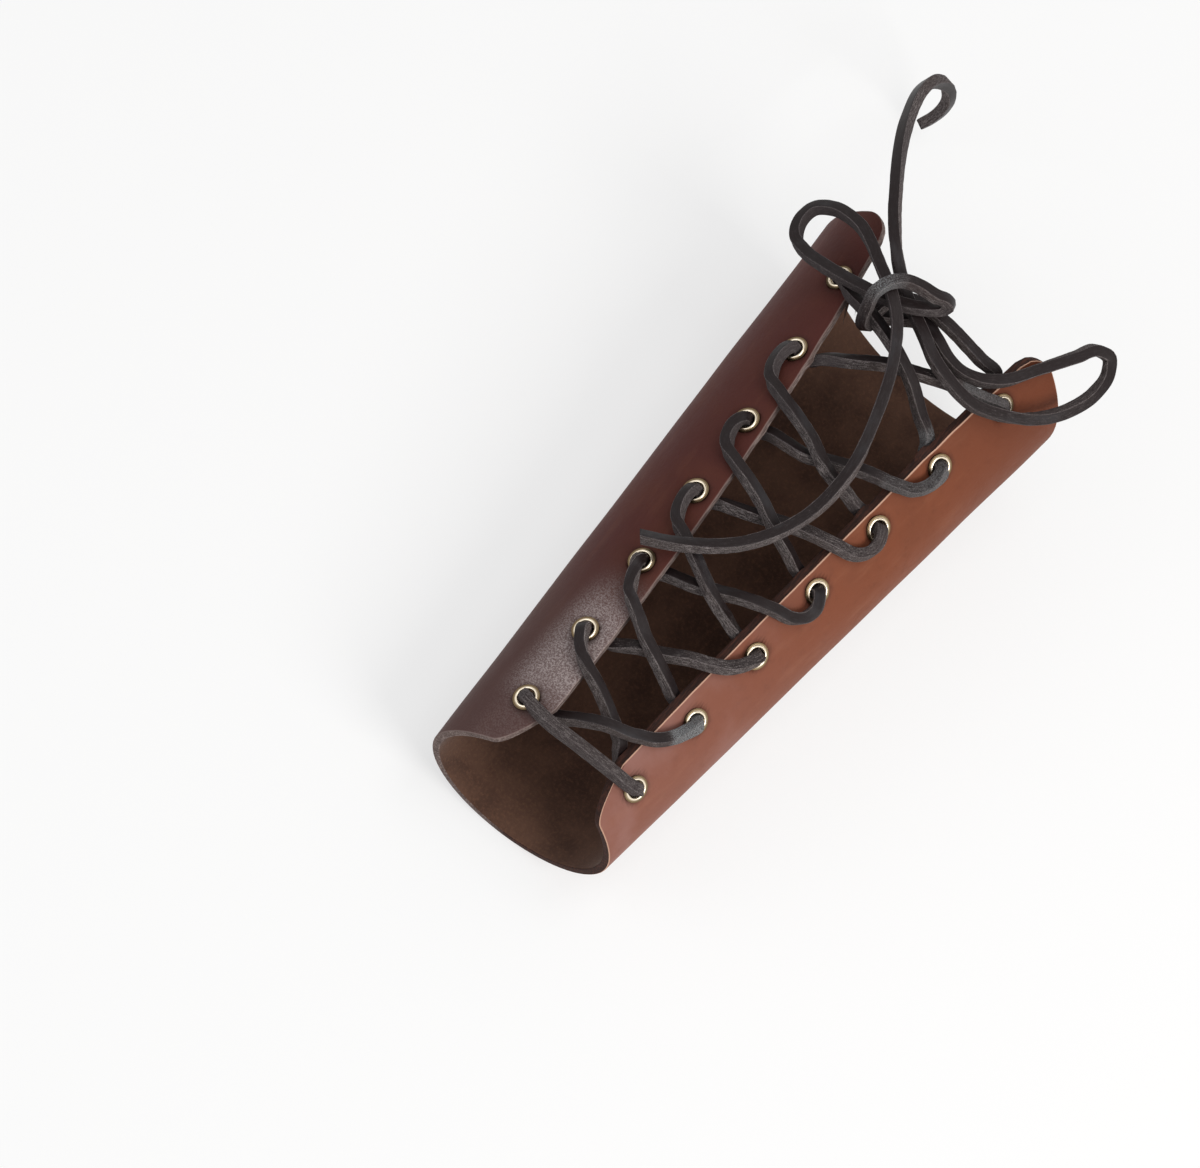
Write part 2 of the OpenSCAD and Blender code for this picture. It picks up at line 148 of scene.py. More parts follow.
class Signal:
    """One shader socket, on which plain arithmetic adds Math nodes."""

    def __init__(self, graph: "Graph", socket: bpy.types.NodeSocket) -> None:
        """Wraps a socket.

        Args:
            graph: the node tree that it belongs to.
            socket: the output that carries the value.
        """
        self.graph = graph
        self.socket = socket

    def _math(self, operation: str, first: object, second: object = None, clamp: bool = False) -> "Signal":
        """Adds one Math node.

        Args:
            operation: the node's operation.
            first: its first value.
            second: its second value, if it has one.
            clamp: whether its result stays from 0 to 1.

        Returns:
            The node's result.
        """
        values = {0: first} if second is None else {0: first, 1: second}
        return self.graph.add("ShaderNodeMath", {"operation": operation, "use_clamp": clamp}, values)

    def __add__(self, other: object) -> "Signal":
        """This value plus the other."""
        return self._math("ADD", self, other)

    def __radd__(self, other: object) -> "Signal":
        """The other value plus this one."""
        return self._math("ADD", other, self)

    def __sub__(self, other: object) -> "Signal":
        """This value less the other."""
        return self._math("SUBTRACT", self, other)

    def __rsub__(self, other: object) -> "Signal":
        """The other value less this one."""
        return self._math("SUBTRACT", other, self)

    def __mul__(self, other: object) -> "Signal":
        """This value times the other."""
        return self._math("MULTIPLY", self, other)

    def __rmul__(self, other: object) -> "Signal":
        """The other value times this one."""
        return self._math("MULTIPLY", other, self)

    def root(self) -> "Signal":
        """The square root of this value."""
        return self._math("SQRT", self)

    def size(self) -> "Signal":
        """This value without its sign."""
        return self._math("ABSOLUTE", self)

    def fraction(self) -> "Signal":
        """What this value has beyond its whole number."""
        return self._math("FRACT", self)

    def within(self) -> "Signal":
        """This value, held from 0 to 1."""
        return self._math("ADD", self, 0.0, clamp=True)

    def most(self, other: object) -> "Signal":
        """The higher of this value and the other."""
        return self._math("MAXIMUM", self, other)

    def step(self, low: float, high: float) -> "Signal":
        """A soft step of this value.

        Args:
            low: where the step starts; above high for a falling step.
            high: where it has ended.

        Returns:
            A value from 0 to 1.
        """
        rising = low < high
        settings = {"interpolation_type": "SMOOTHSTEP"}
        values = {"From Min": min(low, high), "From Max": max(low, high),
                  "To Min": 0.0 if rising else 1.0, "To Max": 1.0 if rising else 0.0, "Value": self}
        return self.graph.add("ShaderNodeMapRange", settings, values)


class Graph:
    """The node tree of a material or of the world."""

    def __init__(self, owner: bpy.types.Material | bpy.types.World) -> None:
        """Starts with an empty tree.

        Args:
            owner: the material or world that the tree belongs to.
        """
        self.owner = owner
        owner.use_nodes = True
        self.tree = owner.node_tree
        self.tree.nodes.clear()

    @classmethod
    def new_material(cls, name: str) -> "Graph":
        """The empty tree of a new material."""
        return cls(bpy.data.materials.new(name))

    def node(self, kind: str, settings: dict | None = None, values: dict | None = None) -> bpy.types.Node:
        """Adds one node.

        Args:
            kind: the node's type.
            settings: what is set on the node first.
            values: numbers, colours or signals for its sockets, by name or place.

        Returns:
            The node.
        """
        node = self.tree.nodes.new(kind)
        for name, value in (settings or {}).items():
            setattr(node, name, value)
        for name, value in (values or {}).items():
            if isinstance(value, Signal):
                self.tree.links.new(value.socket, node.inputs[name])
            else:
                node.inputs[name].default_value = value
        return node

    def add(self, kind: str, settings: dict | None = None, values: dict | None = None,
            out: int | str = 0) -> Signal:
        """Adds one node and gives one of its outputs.

        Args:
            kind: the node's type.
            settings: what is set on the node first.
            values: numbers, colours or signals for its sockets, by name or place.
            out: the output that is wanted.

        Returns:
            That output.
        """
        return Signal(self, self.node(kind, settings, values).outputs[out])

    def place(self) -> Signal:
        """Where a point lies, in metres, in the frame of the object."""
        return self.add("ShaderNodeTexCoord", out="Object")

    def split(self, vector: Signal) -> tuple[Signal, Signal, Signal]:
        """The three parts of a vector."""
        node = self.node("ShaderNodeSeparateXYZ", values={0: vector})
        return tuple(Signal(self, part) for part in node.outputs)

    def stretched(self, vector: Signal, scale: Point, turn: float = 0.0) -> Signal:
        """A place that is turned about Z and scaled, so that a pattern runs along a direction."""
        return self.add("ShaderNodeMapping", {"vector_type": "POINT"},
                        {"Vector": vector, "Rotation": (0.0, 0.0, turn), "Scale": scale})

    def noise(self, vector: Signal, scale: float, detail: float = 4.0, rough: float = 0.55) -> Signal:
        """Cloudy noise from 0 to 1, with that many cells to a metre."""
        return self.add("ShaderNodeTexNoise", {"noise_dimensions": "3D"},
                        {"Vector": vector, "Scale": scale, "Detail": detail, "Roughness": rough})

    def cells(self, vector: Signal, scale: float, feature: str = "F1") -> Signal:
        """The distance to the middle or the wall of a cell, as leather's pebbles have."""
        return self.add("ShaderNodeTexVoronoi", {"feature": feature, "voronoi_dimensions": "3D"},
                        {"Vector": vector, "Scale": scale, "Randomness": 1.0})

    def attribute(self, name: str) -> Signal:
        """A number that is kept on the mesh."""
        return self.add("ShaderNodeAttribute", {"attribute_name": name}, out="Fac")

    def seen(self) -> Signal:
        """1 on rays that show a surface to the eye, also in a mirror or through glass.

        Returns:
            That value.
        """
        rays = self.node("ShaderNodeLightPath").outputs
        straight, mirrored, through = (Signal(self, rays[name]) for name in
                                       ("Is Camera Ray", "Is Glossy Ray", "Is Transmission Ray"))
        return straight.most(mirrored).most(through)

    def blend(self, share: Signal | float, first: Signal | Colour, second: Signal | Colour) -> Signal:
        """One colour mixed into another.

        Args:
            share: how much of the second colour, from 0 to 1.
            first: the colour at 0.
            second: the colour at 1.

        Returns:
            The mixed colour.
        """
        return self.add("ShaderNodeMix", {"data_type": "RGBA"}, {0: share, 6: first, 7: second}, out=2)

    def bump(self, height: Signal, distance: float, strength: float = 1.0,
             under: Signal | None = None) -> Signal:
        """A normal from heights.

        Args:
            height: the height, from 0 to 1.
            distance: what a height of 1 stands for, in metres.
            strength: how much of it shows.
            under: a normal that it is added to.

        Returns:
            The normal.
        """
        values = {"Height": height, "Distance": distance, "Strength": strength}
        if under is not None:
            values["Normal"] = under
        return self.add("ShaderNodeBump", values=values)

    def finish(self, colour: Signal | Colour, roughness: Signal | float, normal: Signal | None = None,
               metallic: float = 0.0, fixed: dict | None = None) -> bpy.types.Material:
        """Ends the tree in one shader.

        Args:
            colour: its base colour.
            roughness: its roughness.
            normal: its normal, if it isn't the mesh's own.
            metallic: 1 for bare metal.
            fixed: numbers and colours for sockets that are the same all over.

        Returns:
            The finished material.
        """
        values = {"Base Color": colour, "Roughness": roughness, "Metallic": metallic}
        if normal is not None:
            values["Normal"] = normal
        values.update(fixed or {})
        self.end(self.add("ShaderNodeBsdfPrincipled", values=values))
        return self.owner

    def end(self, shader: Signal, kind: str = "ShaderNodeOutputMaterial") -> None:
        """Joins a shader to the tree's output."""
        self.node(kind, values={"Surface": shader})


@dataclass(frozen=True)
class TannedLeather:
    """The smooth grain side of dyed leather, darker and cooler on the left flap, partly as painted shade,
    with painted sheen and highlights.

    A range says where a change starts and ends: across or along the guard, in metres. A rate is the
    number of a pattern's cells to a metre, and a depth is what its relief stands for, in metres.
    """

    warm: Colour = plain(124, 70, 48)
    # Painted soft highlight on the right flap towards the wrist.
    warm_highlight: Colour = plain(154, 112, 104)
    warm_deep: Colour = plain(106, 58, 40)
    warm_patch: Colour = plain(98, 58, 42)
    fine_patch: Colour = plain(74, 45, 36)
    streak: Colour = plain(160, 110, 84)
    # The left flap's darker, cooler base is partly painted shade.
    dark: Colour = plain(80, 42, 38)
    # Painted grey sheen on the left flap towards the wrist.
    smoke: Colour = plain(84, 65, 62)
    # Pale grey of a rubbed patch, which also paints a speckled sheen.
    rubbed_and_sheen: Colour = plain(176, 164, 162)
    # Painted highlights along the softened outline.
    line: Colour = plain(212, 170, 146)
    grey_edge_highlight: Colour = plain(146, 130, 124)
    # Painted shade round each flange, where the leather meets the brass.
    pressed: Colour = plain(58, 36, 30)
    left_across: Range = (0.006, -0.010)
    left_wander: float = 0.012
    smoke_along: Range = (-0.020, -0.070)
    worn_sheen_along: Range = (-0.034, -0.060)
    worn_sheen_across: Range = (-0.034, -0.024)
    worn_sheen_end: Range = (-0.098, -0.080)
    wrist_highlight_along: Range = (0.03, -0.09)
    deep_along: Range = (0.03, 0.10)
    edge_highlight_width: Range = (0.55, 0.88)
    cloud_rate: float = 28.0
    fine_rate: float = 240.0
    streak_rate: float = 170.0
    streak_turn: float = 0.35
    speckle_rate: float = 1700.0
    pebble_rate: float = 900.0
    pore_rate: float = 2600.0
    crease_rate: float = 330.0
    crease_turn: float = 0.6
    pebble_depth: float = 0.00009
    pore_depth: float = 0.00005
    crease_depth: float = 0.00006
    cloud_depth: float = 0.0016
    roughness: float = 0.58

    def material(self) -> bpy.types.Material:
        """Builds the material.

        Returns:
            The material.
        """
        g = Graph.new_material("tanned_leather")
        place = g.place()
        x, y, _ = g.split(place)
        clouds = g.noise(place, self.cloud_rate, 5.0)
        fine = g.noise(place, self.fine_rate, 6.0, 0.65)
        left = (x + (clouds - 0.5) * self.left_wander).step(*self.left_across)
        right = 1.0 - left
        # A rubbed patch on the left flap near the wrist and the gap, which also paints a speckled grey
        # sheen.
        worn_sheen = left * y.step(*self.worn_sheen_along) * (0.15 + y.step(*self.worn_sheen_end) * 0.85)
        worn_sheen = worn_sheen * x.step(*self.worn_sheen_across) * (clouds * 0.7 + fine * 0.5).step(0.34, 0.60)
        speckle = g.noise(place, self.speckle_rate, 5.0, 0.75)
        # Painted soft highlight on the right flap, strongest towards the wrist.
        wrist_highlight = y.step(*self.wrist_highlight_along) * (0.30 + clouds.step(0.40, 0.62) * 0.45)
        colour = self._dye(g, place, left, clouds, fine)
        # Painted grey sheen on the left flap, stronger towards the wrist.
        colour = g.blend(left * y.step(*self.smoke_along) * 0.65, colour, self.smoke)
        colour = g.blend(worn_sheen * (0.20 + speckle.step(0.44, 0.58) * 0.62), colour, self.rubbed_and_sheen)
        colour = g.blend(right * wrist_highlight, colour, self.warm_highlight)
        colour = g.blend(right * y.step(*self.deep_along) * 0.6, colour, self.warm_deep)
        # Painted highlight along the softened outline, greyer on the left flap.
        line = g.attribute("rim").step(*self.edge_highlight_width)
        colour = g.blend(line * (0.95 - left * 0.4), colour, g.blend(left, self.line, self.grey_edge_highlight))
        # Painted shade round each flange.
        colour = g.blend(g.attribute("ring") * 0.5, colour, self.pressed)
        rough = self.roughness + (fine - 0.5) * 0.16 + (clouds - 0.5) * 0.14 - worn_sheen * 0.06
        return g.finish(colour, rough.within(), self._relief(g, place, clouds),
                        fixed={"Specular IOR Level": 0.26, "IOR": 1.3})

    def _dye(self, g: Graph, place: Signal, left: Signal, clouds: Signal, fine: Signal) -> Signal:
        """The dyed colour with its patches and streaks.

        Args:
            g: the material's nodes.
            place: where a point lies.
            left: 1 on the left flap.
            clouds: broad noise.
            fine: fine noise.

        Returns:
            The colour.
        """
        streaks = g.noise(g.stretched(place, (1.0, 0.18, 1.0), self.streak_turn), self.streak_rate, 5.0)
        # Partly painted shade: the left flap takes the darker, cooler base.
        colour = g.blend(left, self.warm, self.dark)
        colour = g.blend(clouds.step(0.42, 0.72) * 0.35, colour, self.warm_patch)
        colour = g.blend(fine.step(0.50, 0.80) * 0.25, colour, self.fine_patch)
        return g.blend(streaks.step(0.52, 0.75) * (0.16 - left * 0.10), colour, self.streak)

    def _relief(self, g: Graph, place: Signal, clouds: Signal) -> Signal:
        """The normal with pebbles, pores, creases and broad waves.

        Args:
            g: the material's nodes.
            place: where a point lies.
            clouds: broad noise.

        Returns:
            The normal.
        """
        pores = g.noise(place, self.pore_rate, 3.0)
        creased = g.stretched(place, (1.0, 0.55, 1.0), self.crease_turn)
        creases = g.cells(creased, self.crease_rate, "DISTANCE_TO_EDGE")
        normal = g.bump(g.cells(place, self.pebble_rate), self.pebble_depth, 0.35)
        normal = g.bump(pores, self.pore_depth, 0.35, normal)
        normal = g.bump(creases.step(0.0, 0.08), self.crease_depth, 0.25, normal)
        return g.bump(clouds, self.cloud_depth, 0.18, normal)


@dataclass(frozen=True)
class CutEdge:
    """The raw cut edge of the sheet, with fibres that run along it, dyed darker on the right."""

    deep: Colour = plain(44, 29, 25)
    red: Colour = plain(80, 48, 38)
    grey: Colour = plain(92, 76, 72)
    pale: Colour = plain(146, 130, 124)
    left_across: Range = (0.004, -0.004)
    fibre_rate: float = 1500.0
    fibre_depth: float = 0.0002
    patch_rate: float = 160.0
    roughness: float = 0.82

    def material(self) -> bpy.types.Material:
        """Builds the material.

        Returns:
            The material.
        """
        g = Graph.new_material("cut_edge")
        place = g.place()
        fibres = g.noise(g.stretched(place, (1.0, 0.12, 1.0)), self.fibre_rate, 6.0, 0.7)
        patches = g.noise(place, self.patch_rate, 4.0)
        left = g.split(place)[0].step(*self.left_across)
        dyed = g.blend(fibres.step(0.40, 0.66), self.deep, self.red)
        raw = g.blend(fibres.step(0.42, 0.66), self.grey, self.pale)
        colour = g.blend(left, dyed, raw)
        colour = g.blend(patches.step(0.45, 0.70) * 0.4, colour, self.deep)
        normal = g.bump(fibres, self.fibre_depth, 0.6)
        return g.finish(colour, self.roughness, normal, fixed={"Specular IOR Level": 0.25})


@dataclass(frozen=True)
class FleshSide:
    """The napped inner side of the sheet."""

    brown: Colour = plain(100, 72, 58)
    dark: Colour = plain(70, 48, 39)
    pale_nap: Colour = plain(124, 88, 68)
    nap_rate: float = 900.0
    nap_depth: float = 0.00022
    cloud_rate: float = 45.0
    vein_rate: float = 260.0
    vein_turn: float = 0.4
    vein_depth: float = 0.0003
    roughness: float = 0.92

    def material(self) -> bpy.types.Material:
        """Builds the material.

        Returns:
            The material.
        """
        g = Graph.new_material("flesh_side")
        place = g.place()
        nap = g.noise(place, self.nap_rate, 8.0, 0.72)
        clouds = g.noise(place, self.cloud_rate, 5.0)
        veins = g.noise(g.stretched(place, (1.0, 0.3, 1.0), self.vein_turn), self.vein_rate, 5.0, 0.7)
        colour = g.blend(clouds.step(0.35, 0.70), self.brown, self.dark)
        colour = g.blend(nap.step(0.45, 0.70) * 0.5, colour, self.pale_nap)
        colour = g.blend(veins.step(0.55, 0.72) * 0.3, colour, self.dark)
        normal = g.bump(nap, self.nap_depth, 0.7)
        normal = g.bump(veins, self.vein_depth, 0.4, normal)
        return g.finish(colour, self.roughness, normal,
                        fixed={"Specular IOR Level": 0.2, "Sheen Weight": 0.15, "Sheen Roughness": 0.5})


@dataclass(frozen=True)
class AgedBrass:
    """Antiqued brass: rubbed bright on the rolled lip, which also paints the lip's highlight, and dull on
    the flat flange.

    Its fields centre and axis are those of the eyelet that it dresses. Ranges are distances from the
    axis, or heights over the leather.
    """

    centre: Point
    axis: Point
    bright: Colour = plain(240, 226, 202)
    dull: Colour = plain(158, 138, 106)
    stain: Colour = plain(104, 84, 54)
    rim_shade: Colour = plain(88, 72, 52)
    lip_radius: Range = (0.00425, 0.00375)
    lip_height: Range = (-0.0022, -0.0006)
    rim_radius: Range = (0.0037, 0.0044)
    patina_rate: float = 700.0
    scratch_rate: float = 2200.0
    scratch_depth: float = 0.000012

    def material(self, name: str) -> bpy.types.Material:
        """Builds the material.

        Args:
            name: its name.

        Returns:
            The material.
        """
        g = Graph.new_material(name)
        place = g.place()
        offset = g.add("ShaderNodeVectorMath", {"operation": "SUBTRACT"}, {0: place, 1: self.centre})
        height = g.add("ShaderNodeVectorMath", {"operation": "DOT_PRODUCT"},
                       {0: offset, 1: self.axis}, out="Value")
        reach = g.add("ShaderNodeVectorMath", {"operation": "LENGTH"}, {0: offset}, out="Value")
        radius = (reach * reach - height * height).most(0.0).root()
        patina = g.noise(place, self.patina_rate, 6.0, 0.65)
        lip = radius.step(*self.lip_radius) * height.step(*self.lip_height)
        # The lip is rubbed bright, and its brightness also paints the lip's highlight.
        rubbed_and_sheen = (lip * 1.1 - patina.step(0.58, 0.80) * 0.3).within()
        colour = g.blend(rubbed_and_sheen, self.dull, self.bright)
        colour = g.blend(patina.step(0.62, 0.84) * 0.3, colour, self.stain)
        colour = g.blend(radius.step(*self.rim_radius) * 0.75, colour, self.rim_shade)
        rough = 0.36 - rubbed_and_sheen * 0.12 + (patina - 0.5) * 0.14
        scratches = g.noise(g.stretched(place, (1.0, 0.2, 1.0)), self.scratch_rate, 3.0)
        return g.finish(colour, rough.within(), g.bump(scratches, self.scratch_depth, 0.3), metallic=1.0)


@dataclass(frozen=True)
class WasherBrass:
    """Plain dull brass of the washers on the inner face."""

    bright: Colour = plain(176, 148, 96)
    dull: Colour = plain(104, 84, 52)
    patina_rate: float = 500.0
    patina_depth: float = 0.00004

    def material(self) -> bpy.types.Material:
        """Builds the material.

        Returns:
            The material.
        """
        g = Graph.new_material("washer_brass")
        patina = g.noise(g.place(), self.patina_rate, 6.0, 0.6)
        colour = g.blend(patina.step(0.40, 0.70), self.bright, self.dull)
        normal = g.bump(patina, self.patina_depth, 0.3)
        return g.finish(colour, (0.36 + patina * 0.2).within(), normal, metallic=1.0)


@dataclass(frozen=True)
class LaceLeather:
    """Square cut lace: one smooth dyed face, and rough fibres on the sides that were cut.

    The lace's map runs round it in U, from 0 to 1 over its four faces, and along it in V, in metres.
    """

    grain: Colour = plain(31, 23, 23)
    sheen: Colour = plain(64, 64, 67)
    # Dark worn fibres, and also the painted shade on the cut sides.
    worn_and_shaded: Colour = plain(60, 54, 55)
    rough_dark: Colour = plain(58, 51, 51)
    rough_pale: Colour = plain(162, 153, 151)
    rough_brown: Colour = plain(74, 62, 58)
    rough_cool: Colour = plain(140, 144, 146)
    fuzz: Colour = plain(126, 118, 118)
    girth: float = 0.016
    fibre_rate: float = 2200.0
    fibre_depth: float = 0.00012
    nap_rate: float = 2400.0
    nap_depth: float = 0.00013
    patch_rate: float = 90.0
    darkened: Range = (0.0, 0.5)
    browned: Range = (0.2, 0.9)
    roughened: Range = (1.0, 1.4)

    def material(self) -> bpy.types.Material:
        """Builds the material.

        Returns:
            The material.
        """
        g = Graph.new_material("lace_leather")
        u, v, _ = g.split(g.add("ShaderNodeTexCoord", out="UV"))
        flat = g.add("ShaderNodeCombineXYZ", values={0: u * self.girth, 1: v, 2: 0.0})
        side, wear_and_shade = g.attribute("cut"), g.attribute("wear_and_shade")
        fibres = g.noise(g.stretched(flat, (1.0, 0.16, 1.0)), self.fibre_rate, 7.0, 0.7)
        nap = g.noise(flat, self.nap_rate, 6.0, 0.7)
        patches = g.noise(g.stretched(flat, (1.0, 0.4, 1.0)), self.patch_rate, 4.0)
        cut = side + wear_and_shade.most(0.0) * 0.42 + (nap - 0.5) * 0.5 + (fibres - 0.5) * 0.4
        cut = cut.step(0.36, 0.66)
        corner = ((u * 4.0).fraction() - 0.5).size().step(0.40, 0.49)
        smooth = g.blend(fibres.step(0.46, 0.76) * 0.5, self.grain, self.worn_and_shaded)
        smooth = g.blend(patches.step(0.52, 0.70) * 0.35, smooth, self.sheen)
        colour = g.blend(cut, smooth, self._rough_colour(g, fibres, nap, patches, wear_and_shade))
        colour = g.blend(corner * nap.step(0.40, 0.62) * 0.6, colour, self.fuzz)
        rough = 0.42 + cut * 0.44 + (nap - 0.5) * 0.12
        normal = g.bump(fibres, self.fibre_depth, 0.35 + cut * 0.5)
        normal = g.bump(nap, self.nap_depth, 0.25 + cut * 0.6, normal)
        return g.finish(colour, rough.within(), normal, fixed={"Specular IOR Level": 0.4, "IOR": 1.3})

    def _rough_colour(self, g: Graph, fibres: Signal, nap: Signal, patches: Signal, wear_and_shade: Signal) -> Signal:
        """The colour where the fibres are bare.

        Args:
            g: the material's nodes.
            fibres: noise that is drawn out along the lace.
            nap: noise as fine as the nap.
            patches: broad noise.
            wear_and_shade: how worn the lace is, and below 0 the painted shade that darkens its cut sides.

        Returns:
            The colour.
        """
        colour = g.blend((fibres * 0.55 + nap * 0.45).step(0.44, 0.68), self.rough_dark, self.rough_pale)
        colour = g.blend(patches.step(0.45, 0.65) * 0.4, colour, self.rough_brown)
        # Painted shade: below 0 the cut sides darken, as on the left loops.
        colour = g.blend((0.0 - wear_and_shade).step(*self.darkened) * 0.85, colour, self.worn_and_shaded)
        colour = g.blend(wear_and_shade.step(*self.browned) * 0.55, colour, self.rough_dark)
        return g.blend(wear_and_shade.step(*self.roughened) * nap.step(0.40, 0.60) * 0.85, colour, self.rough_cool)


@dataclass(frozen=True)
class PaleFloor:
    """A white sweep that keeps the object's shadow."""

    white: Colour = (0.86, 0.86, 0.86, 1.0)
    glow: float = 1.05
    lift: float = 0.6

    def material(self) -> bpy.types.Material:
        """Builds the material.

        Returns:
            The material.
        """
        g = Graph.new_material("pale_floor")
        matt = g.add("ShaderNodeBsdfDiffuse", values={"Color": self.white})
        glow = g.add("ShaderNodeEmission", values={"Color": WHITE, "Strength": self.glow})
        g.end(g.add("ShaderNodeMixShader", values={0: g.seen() * self.lift, 1: matt, 2: glow}))
        return g.owner


@dataclass(frozen=True)
class CuffForm:
    """The wrapped sheet's sizes, in metres, as its solid has them.

    In its methods s is a station, from the wrist end on, side is -1 on the left flap and 1 on the right
    one, and f is a column, from -1 at the left edge of the gap over 0 at the back to 1 at the right edge.
    """

    length: float = 0.220
    wrist_w: float = 0.071
    wrist_h: float = 0.060
    elbow_w: float = 0.104
    elbow_h: float = 0.088
    thickness: float = 0.003
    # How far both ends are raised at the gap and pulled out of square, and their cut corners
    wrist_rise: float = 0.0075
    elbow_rise: float = 0.010
    wrist_skew: float = 0.0022
    elbow_skew: float = 0.002
    wrist_cut_length: float = 0.018
    wrist_cut_width: float = 0.011
    wrist_cut_power: float = 1.9
    elbow_corner: float = 0.011
    # The two rows of eyelets
    pairs: int = 7
    pitch: float = 0.030
    first_pair: float = 0.0237
    row_in_wrist: float = 0.0119
    row_in_elbow: float = 0.017
    row_shift: float = 0.0018
    row_turn: float = 0.0043
    row_skew: float = 0.0022
    # The leather between the rows and the gap, and the slanted cut on the right
    margin_wrist: float = 0.0108
    margin_elbow: float = 0.0068
    cut_back: float = 0.0011
    cut_in: float = 0.0011
    cut_share: float = 0.115
    cut_taper: float = 0.6
    # The station that lies over the origin
    middle: float = 0.114

    def half_w(self, s: float) -> float:
        """Half of the width at a station."""
        return (self.wrist_w + (self.elbow_w - self.wrist_w) * s / self.length) / 2

    def half_h(self, s: float) -> float:
        """Half of the height at a station."""
        return (self.wrist_h + (self.elbow_h - self.wrist_h) * s / self.length) / 2

    def outer(self, angle: float, s: float) -> Vector:
        """A place on the outer face, by its angle from the top and its station."""
        return Vector((self.half_w(s) * math.sin(angle), s - self.middle,
                       self.half_h(s) * (1 + math.cos(angle))))

    def outward(self, angle: float, s: float) -> Vector:
        """The direction square to the outer face.

        Args:
            angle: the angle from the top.
            s: the station.

        Returns:
            The direction, as a unit vector.
        """
        a, b, c, d = self.half_w(s), self.half_h(s), math.cos(angle), math.sin(angle)
        taper_w = (self.elbow_w - self.wrist_w) / 2 / self.length
        taper_h = (self.elbow_h - self.wrist_h) / 2 / self.length
        return Vector((b * d, -(taper_h * (1 + c) * a * c + taper_w * b * d * d), a * c)).normalized()

    def arc_rate(self, angle: float, s: float) -> float:
        """Arc length to a radian."""
        return math.hypot(self.half_w(s) * math.cos(angle), self.half_h(s) * math.sin(angle))

    def along_rows(self, s: float) -> float:
        """How far a station is along the rows of eyelets, from 0 to 1."""
        return (s - self.first_pair) / (self.pitch * (self.pairs - 1))

    def row_x(self, side: float, s: float) -> float:
        """How far across a row lies; side 0 is the middle between the rows.

        Args:
            side: the flap.
            s: the station.

        Returns:
            The place along X.
        """
        k = self.along_rows(s)
        near, far = self.wrist_w / 2 - self.row_in_wrist, self.elbow_w / 2 - self.row_in_elbow
        return self.row_shift - self.row_turn * k * k + side * (near + (far - near) * k * k)

    def row_angle(self, side: float, s: float) -> float:
        """The angle of a row."""
        return math.asin(self.row_x(side, s) / self.half_w(s))

    def margin(self, s: float) -> float:
        """Leather between an eyelet's axis and the gap."""
        k = min(self.along_rows(s), 1.0)
        return self.margin_elbow + (self.margin_wrist - self.margin_elbow) * (1 - k) ** 2

    def edge_angle(self, side: float, s: float) -> float:
        """The angle of the gap's edge."""
        angle = self.row_angle(side, s)
        return angle - side * self.margin(s) / self.arc_rate(angle, s)

    def cut_shift(self, f: float, s: float, inner: bool) -> float:
        """How far the slanted cut on the right moves a face there, in metres along the section.

        Args:
            f: the column, from -1 to 1.
            s: the station.
            inner: whether it is the inner face.

        Returns:
            The shift away from the gap.
        """
        near = max(0.0, 1 - (1 - f) / self.cut_share)
        return near * (-self.cut_in if inner else self.cut_back * (1 - self.cut_taper * s / self.length))

    def eyelet_station(self, side: float, index: int) -> float:
        """The station of an eyelet."""
        return self.first_pair + self.pitch * index + side * self.row_skew / 2

    def half_arc(self, side: float, s: float) -> float:
        """Arc length from the middle of the back to the gap's edge.

        Args:
            side: the flap.
            s: the station.

        Returns:
            The length.
        """
        count = 24
        step = (math.pi - abs(self.edge_angle(side, s))) / count
        return step * sum(self.arc_rate(math.pi - (k + 0.5) * step, s) for k in range(count))

    def turned(self, f: float, s: float) -> float:
        """The angle of a column."""
        side = -1 if f < 0 else 1
        return side * (math.pi - abs(f) * (math.pi - abs(self.edge_angle(side, s))))

    def wrist_station(self, f: float, arc: float) -> float:
        """The station of the wrist end at a column.

        Args:
            f: the column.
            arc: arc length from the gap's edge.

        Returns:
            The station.
        """
        near = max(0.0, 1 - arc / self.wrist_cut_width)
        return (self.wrist_rise * f * f + self.wrist_skew * math.sin(self.turned(f, 0.0))
                + self.wrist_cut_length * near ** self.wrist_cut_power)

    def elbow_station(self, f: float, arc: float) -> float:
        """The station of the elbow end at a column.

        Args:
            f: the column.
            arc: arc length from the gap's edge.

        Returns:
            The station.
        """
        near = max(0.0, 1 - arc / self.elbow_corner)
        return (self.length + self.elbow_rise * f * f
                - self.elbow_skew * math.sin(self.turned(f, self.length))
                - self.elbow_corner * (1 - math.sqrt(1 - near * near)))

    def eyelet(self, side: float, index: int) -> tuple[Vector, Vector]:
        """An eyelet's place on the outer face and its axis.

        Args:
            side: the flap.
            index: the pair.

        Returns:
            The place and the axis.
        """
        s = self.eyelet_station(side, index)
        angle = self.row_angle(side, s)
        return self.outer(angle, s), self.outward(angle, s)

    def over(self, x: float, s: float, height: float) -> Vector:
        """A place over the outer face, by how far across it is."""
        angle = math.asin(x / self.half_w(s))
        return self.outer(angle, s) + self.outward(angle, s) * height

    def over_edge(self, side: float, s: float, height: float) -> Vector:
        """A place over the gap's edge."""
        angle = self.edge_angle(side, s)
        return self.outer(angle, s) + self.outward(angle, s) * height

    def edge_x(self, side: float, s: float) -> float:
        """How far across the gap's edge lies."""
        return self.half_w(s) * math.sin(self.edge_angle(side, s))

    def away(self, place: Vector) -> Vector:
        """The direction away from the sheet at any place.

        Args:
            place: the place.

        Returns:
            The direction, as a unit vector.
        """
        s = place.y + self.middle
        a, b = self.half_w(s), self.half_h(s)
        return Vector((place.x / a / a, 0.0, (place.z - b) / b / b)).normalized()


